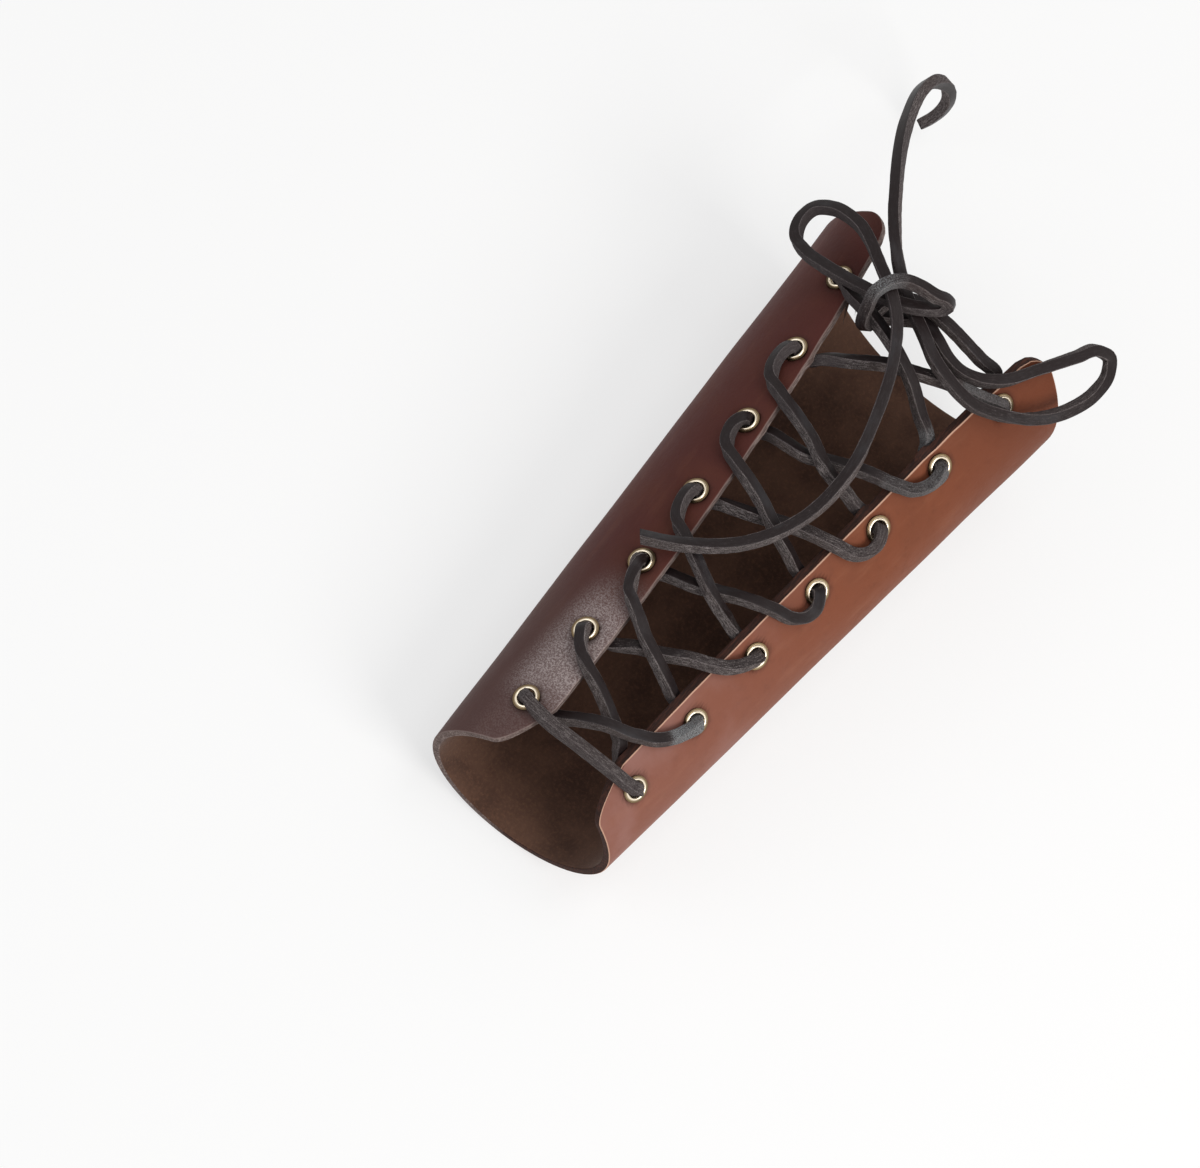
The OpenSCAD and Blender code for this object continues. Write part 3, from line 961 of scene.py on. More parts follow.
@dataclass
class Cuff:
    """The leather sheet, with soft edges and its leather pressed in round each eyelet."""

    form: CuffForm
    # The grid's steps, which are fine on the flaps beside the gap
    flap_step: float = 0.0012
    back_step: float = 0.0034
    row_step: float = 0.0013
    flap: float = 0.026
    # Columns past which the outline wanders, and the surface's slight swell
    outline: float = 0.985
    outline_wander: float = 0.00022
    outline_rates: Range = (6.0, 26.0)
    swell: float = 0.00025
    swell_rate: float = 38.0
    swell_fade: int = 6
    # Distances from an eyelet: its hole, the leather pressed in round it and the ring of painted shade round
    # its flange
    hole: float = 0.0039
    hole_edge: float = 0.0062
    press: float = 0.00046
    press_inner: float = 0.0050
    press_outer: float = 0.0066
    shade_ring_outer: float = 0.0060
    shade_ring_fade: float = 0.0008
    # The softened edges
    sharp_angle: float = 0.6
    edge_round: float = 0.00055
    edge_segments: int = 3
    eyelets: list[tuple[Vector, Vector]] = field(default_factory=list)

    def __post_init__(self) -> None:
        """Lists the eyelets' places."""
        self.eyelets = [self.form.eyelet(side, i) for side in (-1, 1) for i in range(self.form.pairs)]

    def _columns(self) -> list[float]:
        """Columns from the left edge of the gap round the back to the right edge.

        Returns:
            The columns, in order.
        """
        full = self.form.half_arc(1, self.form.length / 2)
        count = round(self.flap / self.flap_step)
        arcs = [self.flap * k / count for k in range(count)]
        rest = round((full - self.flap) / self.back_step)
        arcs += [self.flap + (full - self.flap) * k / rest for k in range(rest)]
        shares = [1 - arc / full for arc in arcs]
        return [-f for f in shares] + [0.0] + shares[::-1]

    def _wave(self, f: float, v: float) -> float:
        """A slight wander of the cut outline, in metres."""
        across, along = self.outline_rates
        return self.outline_wander * noise.noise(Vector((f * across, v * along, 3.0)))

    def _to_eyelet(self, place: Vector) -> float:
        """How far the nearest eyelet is."""
        return min((place - centre).length for centre, _ in self.eyelets)

    def _place(self, f: float, v: float) -> Vector:
        """A place on the outer face of the sheet.

        Args:
            f: the column, from -1 to 1.
            v: how far from the wrist end to the elbow end, from 0 to 1.

        Returns:
            The place, pressed in near an eyelet.
        """
        form, side = self.form, (-1 if f < 0 else 1)
        wrist = form.wrist_station(f, (1 - abs(f)) * form.half_arc(side, form.wrist_cut_length))
        elbow = form.elbow_station(f, (1 - abs(f)) * form.half_arc(side, form.length))
        s = wrist + (elbow - wrist) * v
        angle = form.turned(f, s)
        shift = form.cut_shift(f, s, False)
        if abs(f) > self.outline:
            shift += side * self._wave(f, v)
        angle += shift / form.arc_rate(angle, s)
        place, out = form.outer(angle, s), form.outward(angle, s)
        swell = self.swell * noise.noise(place * self.swell_rate) * (1 - abs(f) ** self.swell_fade)
        near = clamped((self.press_outer - self._to_eyelet(place)) / (self.press_outer - self.press_inner))
        return place + out * (swell * (1 - near) - self.press * near * near * (3 - 2 * near))

    def _blank(self) -> bpy.types.Object:
        """Wraps a flat grid round to the sheet's outer face, with open holes.

        Returns:
            The outer face, with each point's column kept on it.
        """
        columns = self._columns()
        rows = round(self.form.length / self.row_step)
        bpy.ops.object.select_all(action="DESELECT")
        bpy.ops.mesh.primitive_grid_add(x_subdivisions=len(columns) - 1, y_subdivisions=rows, size=2)
        blank = bpy.context.object
        blank.name = "cuff_leather"
        kept = blank.data.attributes.new("column", "FLOAT", "POINT")
        for vertex in blank.data.vertices:
            column = columns[round((vertex.co.x + 1) / 2 * (len(columns) - 1))]
            kept.data[vertex.index].value = column
            vertex.co = self._place(column, (vertex.co.y + 1) / 2)
        bpy.ops.object.mode_set(mode="EDIT")
        bpy.ops.mesh.select_all(action="SELECT")
        bpy.ops.mesh.flip_normals()
        bpy.ops.mesh.select_all(action="DESELECT")
        bpy.ops.object.mode_set(mode="OBJECT")
        for face in blank.data.polygons:
            face.select = self._to_eyelet(face.center) < self.hole
        bpy.ops.object.mode_set(mode="EDIT")
        bpy.ops.mesh.select_mode(type="FACE")
        bpy.ops.mesh.delete(type="FACE")
        bpy.ops.object.mode_set(mode="OBJECT")
        return blank

    def _slant_inner_face(self, sheet: bpy.types.Object, outer_count: int) -> None:
        """Moves the inner face towards the gap at its right edge, where the cut is slanted.

        Args:
            sheet: the sheet, with its wall.
            outer_count: how many of its points are on the outer face.
        """
        form, kept = self.form, sheet.data.attributes["column"]
        for vertex in sheet.data.vertices[outer_count:]:
            f, s = kept.data[vertex.index].value, vertex.co.y + form.middle
            shift = form.cut_shift(f, s, True) - form.cut_shift(f, s, False)
            if shift:
                a, b = form.half_w(s), form.half_h(s)
                along = Vector(((vertex.co.z - b) / b * a, 0.0, -vertex.co.x / a * b)).normalized()
                vertex.co += along * shift
        sheet.data.attributes.remove(kept)

    def _mark_edges(self, sheet: bpy.types.Object) -> None:
        """Gives the sheet's outline a bevel weight, and its hidden hole walls none.

        Args:
            sheet: the sheet, with its wall.
        """
        mesh = bmesh.new()
        mesh.from_mesh(sheet.data)
        weight = mesh.edges.layers.float.new("bevel_weight_edge")
        for edge in mesh.edges:
            if len(edge.link_faces) != 2 or edge.calc_face_angle(0.0) < self.sharp_angle:
                continue
            if self._to_eyelet((edge.verts[0].co + edge.verts[1].co) / 2) > self.hole_edge:
                edge[weight] = 1.0
        mesh.to_mesh(sheet.data)
        mesh.free()

    def _mark_rim(self, sheet: bpy.types.Object) -> None:
        """Keeps on the mesh which points are on the outline, for the painted edge highlight, and how near
        each is to a flange, for the painted shade there.

        Args:
            sheet: the sheet, with its bevel weights.
        """
        rim = sheet.data.attributes.new("rim", "FLOAT", "POINT")
        ring = sheet.data.attributes.new("ring", "FLOAT", "POINT")
        edges = {v for e in sheet.data.edges for v in e.vertices
                 if sheet.data.attributes["bevel_weight_edge"].data[e.index].value > 0.5}
        for index, vertex in enumerate(sheet.data.vertices):
            rim.data[index].value = 1.0 if index in edges else 0.0
            ring.data[index].value = clamped((self.shade_ring_outer - self._to_eyelet(vertex.co)) / self.shade_ring_fade)

    def build(self) -> bpy.types.Object:
        """Builds and dresses the sheet.

        Returns:
            The sheet.
        """
        sheet = self._blank()
        for finish in (TannedLeather(), CutEdge(), FleshSide()):
            sheet.data.materials.append(finish.material())
        outer_count = len(sheet.data.vertices)
        modify(sheet, "wall", "SOLIDIFY", {
            "thickness": self.form.thickness, "offset": -1.0, "use_even_offset": True,
            "material_offset": 2, "material_offset_rim": 1})
        self._slant_inner_face(sheet, outer_count)
        self._mark_edges(sheet)
        self._mark_rim(sheet)
        modify(sheet, "soft_edges", "BEVEL", {
            "limit_method": "WEIGHT", "width": self.edge_round, "segments": self.edge_segments,
            "use_clamp_overlap": False})
        bpy.ops.object.shade_smooth()
        modify(sheet, "even_shading", "WEIGHTED_NORMAL", {})
        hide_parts("cuff")
        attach(sheet, "root")
        return sheet


@dataclass
class Eyelets:
    """The eyelets and washers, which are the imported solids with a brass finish."""

    form: CuffForm
    crease: float = math.radians(35.0)

    def dress(self, nodes: dict) -> int:
        """Gives each ring its brass.

        Args:
            nodes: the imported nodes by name.

        Returns:
            How many rings were dressed.
        """
        washer = WasherBrass().material()
        count = 0
        for flap in Flap:
            for index in range(self.form.pairs):
                centre, axis = self.form.eyelet(flap.value, index)
                place = f"{flap.word}_{index + 1}"
                brass = AgedBrass(tuple(centre), tuple(axis)).material(f"brass_{place}")
                self._give(nodes[f"eyelet_{place}"], brass)
                self._give(nodes[f"washer_{place}"], washer)
                count += 2
        return count

    def _give(self, piece: bpy.types.Object, material: bpy.types.Material) -> None:
        """Gives a piece one material in each of its slots, and smooth shading between its creases.

        Args:
            piece: the piece.
            material: its material.
        """
        for slot in piece.material_slots:
            slot.material = material
        if not piece.material_slots:
            piece.data.materials.append(material)
        pick(piece)
        bpy.ops.object.shade_smooth_by_angle(angle=self.crease)


@dataclass
class LaceRoute:
    """The way the lace takes through the eyelets and into the bow, as in the solids.

    The knot alone is drawn a little tighter than theirs. Values that come in pairs are those of the
    left flap and of the right one.
    """

    form: CuffForm
    width: float = 0.004
    gap: float = 0.00035
    lip: float = 0.0004
    barrel: float = 0.003
    foot: float = 0.0004
    seat: float = 0.0004
    edge_drop: float = 0.00055
    # Where two strands cross over the gap, pair by pair
    cross_half: float = 0.0023
    cross_height: float = -0.00125
    cross_run: float = 0.0044
    cross_climb: float = 0.002
    cross_right: tuple[float, ...] = (0.0062, -0.0035, -0.0026, -0.0024, -0.0023, 0.0005)
    cross_ahead: tuple[float, ...] = (0.0095, 0.0066, 0.0049, 0.0062, 0.003, 0.015)
    # Where each strand leaves one row and reaches the other
    leave_ahead: tuple[tuple[float, ...], ...] = (
        (0.0015, 0.0024, 0.0022, 0.0022, 0.0016, 0.0022),
        (0.0042, 0.0008, 0.0008, 0.0008, 0.0006, 0.003))
    arrive_behind: tuple[tuple[float, ...], ...] = (
        (0.0109, 0.0152, 0.0162, 0.0154, 0.0175, 0.0035),
        (0.017, 0.0132, 0.0163, 0.0158, 0.0162, 0.0035))
    arrive_swing: tuple[tuple[float, ...], ...] = (
        (0.0009, 0.0008, -0.0008, -0.0016, -0.0016, 0.0),
        (0.0007, 0.001, -0.0032, -0.0029, -0.0011, 0.0))
    end_turn: tuple[float, float] = (1.0, 2.8)
    lip_bend: float = 0.0019

    @property
    def half(self) -> float:
        """Half of the lace's width."""
        return self.width / 2

    @property
    def on_leather(self) -> float:
        """Height of the lace's middle on the leather."""
        return self.half + self.gap

    @property
    def on_flange(self) -> float:
        """Height of the lace's middle over a flange."""
        return self.lip + self.half + self.gap

    @property
    def under_foot(self) -> float:
        """Height of the lace's middle under an eyelet's foot."""
        return -self.seat - self.barrel - self.foot - self.half - self.gap

    @property
    def under_edge(self) -> float:
        """Height of the lace's middle under the edge of the gap."""
        return -self.form.thickness - self.half - self.gap - self.edge_drop

    @staticmethod
    def _column(side: int) -> int:
        """Which of a pair of values belongs to a flap."""
        return 0 if side < 0 else 1

    def _near(self, side: int, index: int, step: Point) -> Vector:
        """A place near an eyelet, by its distance inwards, ahead and up."""
        s = self.form.eyelet_station(side, index)
        return self.form.over(self.form.row_x(side, s) - side * step[0], s + step[1], step[2])

    def _strand_start(self, side: int, index: int, turn: float = 1.0) -> list[Vector]:
        """Where the lace comes out under an eyelet.

        Args:
            side: the flap.
            index: the pair.
            turn: how many times as far ahead it turns there.

        Returns:
            Its points.
        """
        steps = ((0.0, 0.0, -0.002), (0.0001, 0.0001, -0.0044), (0.0017, 0.0004, self.under_foot),
                 (0.0044, 0.0012, self.under_foot))
        return [self._near(side, index, (x, y * turn, z)) for x, y, z in steps]

    def _strand_end(self, side: int, index: int) -> list[Vector]:
        """The last stretch of a strand, from the edge of the gap into a bore.

        Args:
            side: the flap on which it ends.
            index: the pair at which it ends.

        Returns:
            Its points.
        """
        back = self.arrive_behind[self._column(side)][index - 1]
        swing = self.arrive_swing[self._column(side)][index - 1]
        wide = self.form.margin(self.form.eyelet_station(side, index))
        steps = [(0.0046, -0.0024, self.on_flange + 0.0001)]
        if index < self.form.pairs - 1:
            shares = ((0.55, 0.8, 0.8, self.on_leather + 0.0002),
                      (0.28, 0.56, 1.0, self.on_leather + 0.0003),
                      (0.12, 0.3, 0.8, self.on_flange + 0.0001))
            steps = [(a * wide + c * swing, -b * back, h) for a, b, c, h in shares]
        aim = Vector(steps[-1][:2]).normalized()
        steps.append((aim.x * self.lip_bend, aim.y * self.lip_bend, self.on_flange))
        steps += [(aim.x * 0.0001, aim.y * 0.0001, 0.0013), (0.0, 0.0, -0.001)]
        return [self._near(side, index, p) for p in steps]

    def _strand(self, side: int, index: int) -> list[Vector]:
        """Points of one strand, from under an eyelet to the next one across the gap.

        Args:
            side: the side on which it starts.
            index: the pair at which it starts.

        Returns:
            Its points.
        """
        form = self.form
        start = form.eyelet_station(side, index) + self.leave_ahead[self._column(side)][index]
        end = form.eyelet_station(-side, index + 1) - self.arrive_behind[self._column(-side)][index]
        on_top = (side > 0) != (index == 0)
        height = self.cross_height + (self.cross_half if on_top else -self.cross_half)
        s = form.first_pair + form.pitch * index + self.cross_ahead[index]
        x = form.row_x(0, s) + self.cross_right[index]
        near, far = x + side * self.cross_run, x - side * self.cross_run
        low, high = s - self.cross_climb, s + self.cross_climb
        return [
            *self._strand_start(side, index),
            form.over_edge(side, start, self.under_edge),
            form.over((form.edge_x(side, start) + near) / 2, (start + low) / 2,
                      self.under_edge + (height - self.under_edge) * 0.3),
            form.over(near, low, height),
            form.over(far, high, height),
            form.over((far + form.edge_x(-side, end)) / 2, (high + end) / 2,
                      height + (self.on_leather - height) * 0.55),
            form.over_edge(-side, end, self.on_leather + 0.0002),
            *self._strand_end(-side, index + 1),
        ]

    def _last_start(self, side: int) -> list[Vector]:
        """Where the lace comes out under the last pair."""
        return self._strand_start(side, self.form.pairs - 1, self.end_turn[self._column(side)])

    def _climb(self, side: int) -> list[Vector]:
        """All points from a wrist eyelet to where the lace comes out under the last pair.

        Args:
            side: the flap on which it starts.

        Returns:
            The points.
        """
        points: list[Vector] = []
        for index in range(self.form.pairs - 1):
            points += self._strand(side if index % 2 == 0 else -side, index)
        return points + self._last_start(side if (self.form.pairs - 1) % 2 == 0 else -side)

    def _bar(self) -> list[Vector]:
        """Points of the bar over the wrist end, which bows towards the wrist.

        Returns:
            The points.
        """
        steps = [(0.0, 0.0, -0.001), (0.0001, 0.0, 0.0013), (0.0017, -0.0008, self.on_flange),
                 (0.0046, -0.002, self.on_flange + 0.0001), (0.0094, -0.003, self.on_leather)]
        station = self.form.first_pair
        return [
            *(self._near(-1, 0, p) for p in steps),
            self.form.over(self.form.row_x(0, station), station - 0.0035, 0.0008),
            *(self._near(1, 0, p) for p in reversed(steps)),
        ]

    def held(self) -> list[Vector]:
        """The lace that the guard holds, from under the last left eyelet to the last right one."""
        return self._climb(-1)[::-1] + self._bar() + self._climb(1)

    def left_end(self) -> list[Vector]:
        """The free end from the left: the right loop of the bow and the tail at the elbow.

        Returns:
            Its points, from under the last left eyelet on.
        """
        return [self._last_start(-1)[-1]] + [Vector(p) for p in (
            (-0.0255, 0.0865, 0.073), (-0.019, 0.087, 0.0735), (-0.013, 0.09, 0.0755),
            (-0.008, 0.093, 0.0775), (-0.004, 0.0935, 0.079), (0.0015, 0.091, 0.0815),
            (0.0085, 0.088, 0.0825), (0.0145, 0.0875, 0.083), (0.0205, 0.0895, 0.0835),
            (0.0265, 0.095, 0.083), (0.033, 0.107, 0.0815), (0.04, 0.122, 0.077),
            (0.044, 0.1305, 0.074), (0.049, 0.1325, 0.0715), (0.052, 0.1285, 0.0705),
            (0.053, 0.1195, 0.071), (0.05, 0.107, 0.0735), (0.0435, 0.095, 0.078),
            (0.034, 0.0855, 0.083), (0.0235, 0.08, 0.0863), (0.0135, 0.08, 0.0878),
            (0.004, 0.083, 0.087), (-0.003, 0.087, 0.0865), (-0.009, 0.0905, 0.085),
            (-0.0155, 0.094, 0.0845), (-0.021, 0.0975, 0.085), (-0.0275, 0.102, 0.087),
            (-0.036, 0.1115, 0.086), (-0.0425, 0.1215, 0.083), (-0.05, 0.1355, 0.0765),
            (-0.056, 0.1515, 0.0675), (-0.059, 0.1665, 0.058), (-0.058, 0.1765, 0.049),
            (-0.054, 0.1835, 0.038), (-0.0505, 0.185, 0.026), (-0.0505, 0.183, 0.015),
            (-0.052, 0.1805, 0.009))]

    def right_end(self) -> list[Vector]:
        """The free end from the right: the wrap, the left loop and the tail over the lacing.

        Returns:
            Its points, from under the last right eyelet on.
        """
        return [self._last_start(1)[-1]] + [Vector(p) for p in (
            (0.024, 0.0985, 0.0745), (0.0165, 0.098, 0.0775), (-0.0005, 0.0975, 0.082),
            (-0.008, 0.0975, 0.081), (-0.0145, 0.096, 0.08), (-0.0195, 0.0905, 0.079),
            (-0.0203, 0.0822, 0.077), (-0.0196, 0.0785, 0.0805), (-0.0217, 0.0768, 0.085),
            (-0.0233, 0.079, 0.0905), (-0.0248, 0.0836, 0.0945), (-0.0235, 0.0882, 0.0965),
            (-0.0197, 0.093, 0.096), (-0.0144, 0.0957, 0.095), (-0.0084, 0.0971, 0.0945),
            (-0.0057, 0.0988, 0.0932), (-0.0033, 0.0993, 0.0907), (-0.0048, 0.0974, 0.0884),
            (-0.0084, 0.0935, 0.0893), (-0.0145, 0.0895, 0.0889), (-0.0215, 0.0875, 0.087),
            (-0.028, 0.086, 0.0855), (-0.044, 0.085, 0.079), (-0.051, 0.0865, 0.074),
            (-0.057, 0.09, 0.07), (-0.0595, 0.095, 0.07), (-0.059, 0.101, 0.072),
            (-0.054, 0.104, 0.0765), (-0.0455, 0.1035, 0.082), (-0.0275, 0.093, 0.09),
            (-0.021, 0.0885, 0.0923), (-0.013, 0.082, 0.092), (-0.0075, 0.0755, 0.09),
            (0.004, 0.0505, 0.0865), (0.0085, 0.034, 0.0845), (0.007, 0.0095, 0.082),
            (-0.002, -0.009, 0.08), (-0.015, -0.021, 0.077), (-0.022, -0.0245, 0.073),
            (-0.029, -0.027, 0.0685))]


def smoothed(points: Sequence[Vector], step: float) -> list[Vector]:
    """A smooth curve through points.

    Args:
        points: the points that it goes through.
        step: about how far apart its own points lie.

    Returns:
        Its points.
    """
    slopes = []
    for i, point in enumerate(points):
        if i in (0, len(points) - 1):
            a, b = (points[0], points[1]) if i == 0 else (points[i - 1], points[i])
            slopes.append((b - a).normalized())
            continue
        before, after = (point - points[i - 1]).length, (points[i + 1] - point).length
        slopes.append(((points[i + 1] - point) / after * before + (point - points[i - 1]) / before * after)
                      / (before + after))
    curve = []
    for i in range(len(points) - 1):
        reach = (points[i + 1] - points[i]).length
        count = max(1, round(reach / step))
        for k in range(count):
            t = k / count
            q, c = t * t, t * t * t
            curve.append(points[i] * (2 * c - 3 * q + 1) + slopes[i] * (reach * (c - 2 * q + t))
                         + points[i + 1] * (3 * q - 2 * c) + slopes[i + 1] * (reach * (c - q)))
    return curve + [points[-1].copy()]


@dataclass
class LaceRun:
    """One stretch of lace: a square tube with softened corners and faces that wander a little.

    Its rolls and wears are marks along it, from 0 to 1. The right flap's wears and the left flap's painted
    shade are marks along the guard, in metres, and are added where the lace lies on that flap.
    """

    name: str
    node: str
    points: list[Vector]
    form: CuffForm
    start: float = 0.0
    width: float = 0.004
    corner: float = 0.0004
    step: float = 0.0011
    # The share of its turn against the sheet that it loses over a length
    settle: float = 0.5
    settle_length: float = 0.005
    # How it is rolled and worn, and where painted shade darkens its cut sides over the left flap
    rolls: Marks = ((0.0, 0.42), (1.0, 0.42))
    wears: Marks = ((0.0, 0.2), (1.0, 0.2))
    right_wears: Marks = ((0.0, 0.0), (1.0, 0.0))
    left_shade_marks: Marks = ((0.0, 0.0), (1.0, 0.0))
    right_from: float = 0.005
    right_reach: float = 0.014
    left_from: float = 0.012
    left_reach: float = 0.008
    raised_side: Point = (0.8, -0.6, 0.0)
    slant: float = 0.0
    # Soft random changes: how large they are, and how many times to a metre they turn
    wear_and_shade_wander: float = 0.2
    wear_and_shade_rate: float = 30.0
    roll_wander: float = 0.7
    roll_rate: float = 24.0
    twist: float = 0.1
    twist_rate: float = 50.0
    face_wander: float = 0.05
    face_rate: float = 70.0
    fibre_rate: float = 380.0
    # How rough the four faces are, from the smooth one on round
    cut_faces: tuple[float, ...] = (0.0, 1.0, 0.32, 1.0)
    path: list[Vector] = field(default_factory=list)

    def _frames(self) -> list[tuple[Vector, Vector]]:
        """The two cross directions at each point of the path.

        Returns:
            A direction across and one up, point by point.
        """
        path, frames = self.path, []
        across = Vector((0.0, 1.0, 0.0))
        last = len(path) - 1
        for i, point in enumerate(path):
            ahead = (path[min(i + 1, last)] - path[max(i - 1, 0)]).normalized()
            across = (across - ahead * across.dot(ahead)).normalized()
            side = ahead.cross(across)
            away = self.form.away(point)
            up = away - ahead * away.dot(ahead)
            if i:
                off = math.atan2(up.dot(side), up.dot(across)) - math.pi / 2
                share = 1 - (1 - self.settle) ** (self.step / self.settle_length)
                turn = share * (off - math.pi * round(off / math.pi)) * up.length_squared
                across = across * math.cos(turn) + side * math.sin(turn)
            frames.append((across.copy(), ahead.cross(across)))
        return frames

    def _section(self) -> list[tuple[float, float, float]]:
        """Points of the section: across, up, and how far round, from 0 to 1.

        Returns:
            The points, in order.
        """
        half, corner = self.width / 2, self.corner
        flat = half - corner
        inner = flat * 0.35
        face_points = ((-flat, half), (-inner, half), (inner, half), (flat, half),
                       (flat + corner * 0.62, half - corner * 0.38))
        points = []
        for face in range(4):
            turn = face * math.pi / 2
            c, s = math.cos(turn), math.sin(turn)
            for x, y in face_points:
                share = (face + (x + half) / self.width) / 4
                points.append((x * c + y * s, y * c - x * s, share))
        return points

    @staticmethod
    def _drift(along: float, rate: float, row: float, layer: float) -> float:
        """A soft random value from -1 to 1 that changes along the lace.

        Args:
            along: the distance along the lace.
            rate: how many times to a metre it changes.
            row: the row of the noise that is read.
            layer: its layer.

        Returns:
            The value.
        """
        return noise.noise(Vector((along * rate, row, layer)))

    def _share(self, index: int) -> float:
        """How far along the path a point is, from 0 to 1."""
        return index / (len(self.path) - 1)

    def _wear_and_shade(self, index: int, along: float) -> float:
        """How worn the lace is there: below 0 its cut sides are darkened as painted shade, above 1 its face
        is rough.

        Args:
            index: the point of the path.
            along: the distance along the lace.

        Returns:
            The wear.
        """
        point = self.path[index]
        on_right = clamped((point.x - self.right_from) / self.right_reach)
        on_left = clamped((-point.x - self.left_from) / self.left_reach)
        return (read_marks(self.wears, self._share(index))
                + self.wear_and_shade_wander * self._drift(along, self.wear_and_shade_rate, 2.0, 8.0)
                + read_marks(self.right_wears, point.y) * on_right
                + read_marks(self.left_shade_marks, point.y) * on_left)

    def _twist(self, index: int, across: Vector, up: Vector, along: float) -> float:
        """How far the lace is rolled there, so that one of its cut sides is raised a little.

        Args:
            index: the point of the path.
            across: the direction across its section.
            up: the direction up its section.
            along: the distance along the lace.

        Returns:
            The roll, in radians.
        """
        roll = read_marks(self.rolls, self._share(index))
        roll *= 1 + self.roll_wander * self._drift(along, self.roll_rate, 7.0, 1.0)
        lift = across.dot(Vector(self.raised_side)) * up.dot(self.form.away(self.path[index])) * 3
        return roll * max(-1.0, min(1.0, lift)) + self.twist * self._drift(along, self.twist_rate, 3.0, 2.0)

    def _wander(self, along: float, share: float) -> float:
        """How many times its size the section has there, with more change on the cut faces.

        Args:
            along: the distance along the lace.
            share: how far round the section, from 0 to 1.

        Returns:
            The factor.
        """
        wander = 1 + self.face_wander * self._drift(along, self.face_rate, share * 8.0, 5.0)
        if share > 0.25:
            wander += self.face_wander * self._drift(along, self.fibre_rate, share * 24.0, 9.0)
        return wander

    def _add_rings(self, mesh: bmesh.types.BMesh, section: list) -> tuple[list, list[float]]:
        """Adds the sections' points along the path, each with how cut and how worn it is, and its painted
        shade.

        Args:
            mesh: the mesh that they are added to.
            section: the points of one section.

        Returns:
            The rings of points, and the distance along the lace of each.
        """
        cut = mesh.verts.layers.float.new("cut")
        wear_and_shade = mesh.verts.layers.float.new("wear_and_shade")
        frames, rings, lengths = self._frames(), [], []
        along = self.start
        for i, point in enumerate(self.path):
            if i:
                along += (point - self.path[i - 1]).length
            across, up = frames[i]
            turn = self._twist(i, across, up, along)
            c, s = math.cos(turn), math.sin(turn)
            worn_and_shaded = self._wear_and_shade(i, along)
            ahead = across.cross(up) if i == len(self.path) - 1 else Vector()
            ring = []
            for x, y, share in section:
                size = self._wander(along, share)
                place = point + across * ((x * c - y * s) * size) + up * ((x * s + y * c) * size)
                vertex = mesh.verts.new(place + ahead * (x * self.slant))
                vertex[cut] = self.cut_faces[min(3, int(share * 4))]
                vertex[wear_and_shade] = worn_and_shaded
                ring.append(vertex)
            rings.append(ring)
            lengths.append(along)
        return rings, lengths

    @staticmethod
    def _add_faces(mesh: bmesh.types.BMesh, section: list, rings: list, lengths: list[float]) -> None:
        """Joins the rings by faces, with the lace's map, and closes both ends.

        Args:
            mesh: the mesh that they are added to.
            section: the points of one section.
            rings: the rings of points.
            lengths: the distance along the lace of each ring.
        """
        uv, count = mesh.loops.layers.uv["around"], len(section)
        for i in range(len(rings) - 1):
            for k in range(count):
                n = (k + 1) % count
                face = mesh.faces.new((rings[i][k], rings[i + 1][k], rings[i + 1][n], rings[i][n]))
                face.smooth = True
                near, far = section[k][2], section[n][2] + (1.0 if n == 0 else 0.0)
                start, end = lengths[i], lengths[i + 1]
                corners = ((near, start), (near, end), (far, end), (far, start))
                for loop, corner in zip(face.loops, corners):
                    loop[uv].uv = corner
        mesh.faces.new(rings[0])
        mesh.faces.new(rings[-1][::-1])
        mesh.normal_update()

    def build(self, material: bpy.types.Material) -> bpy.types.Object:
        """Builds the tube.

        Args:
            material: the lace's leather.

        Returns:
            The piece.
        """
        self.path = smoothed(self.points, self.step)
        mesh, section = bmesh.new(), self._section()
        mesh.loops.layers.uv.new("around")
        rings, lengths = self._add_rings(mesh, section)
        self._add_faces(mesh, section, rings, lengths)
        data = bpy.data.meshes.new(self.name)
        mesh.to_mesh(data)
        mesh.free()
        data.materials.append(material)
        piece = bpy.data.objects.new(self.name, data)
        bpy.context.collection.objects.link(piece)
        pick(piece)
        modify(piece, "even_shading", "WEIGHTED_NORMAL", {"mode": "FACE_AREA", "weight": 80})
        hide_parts(self.node)
        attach(piece, "root")
        return piece

    def length(self) -> float:
        """The length of the path, in metres."""
        return sum((b - a).length for a, b in zip(self.path, self.path[1:]))


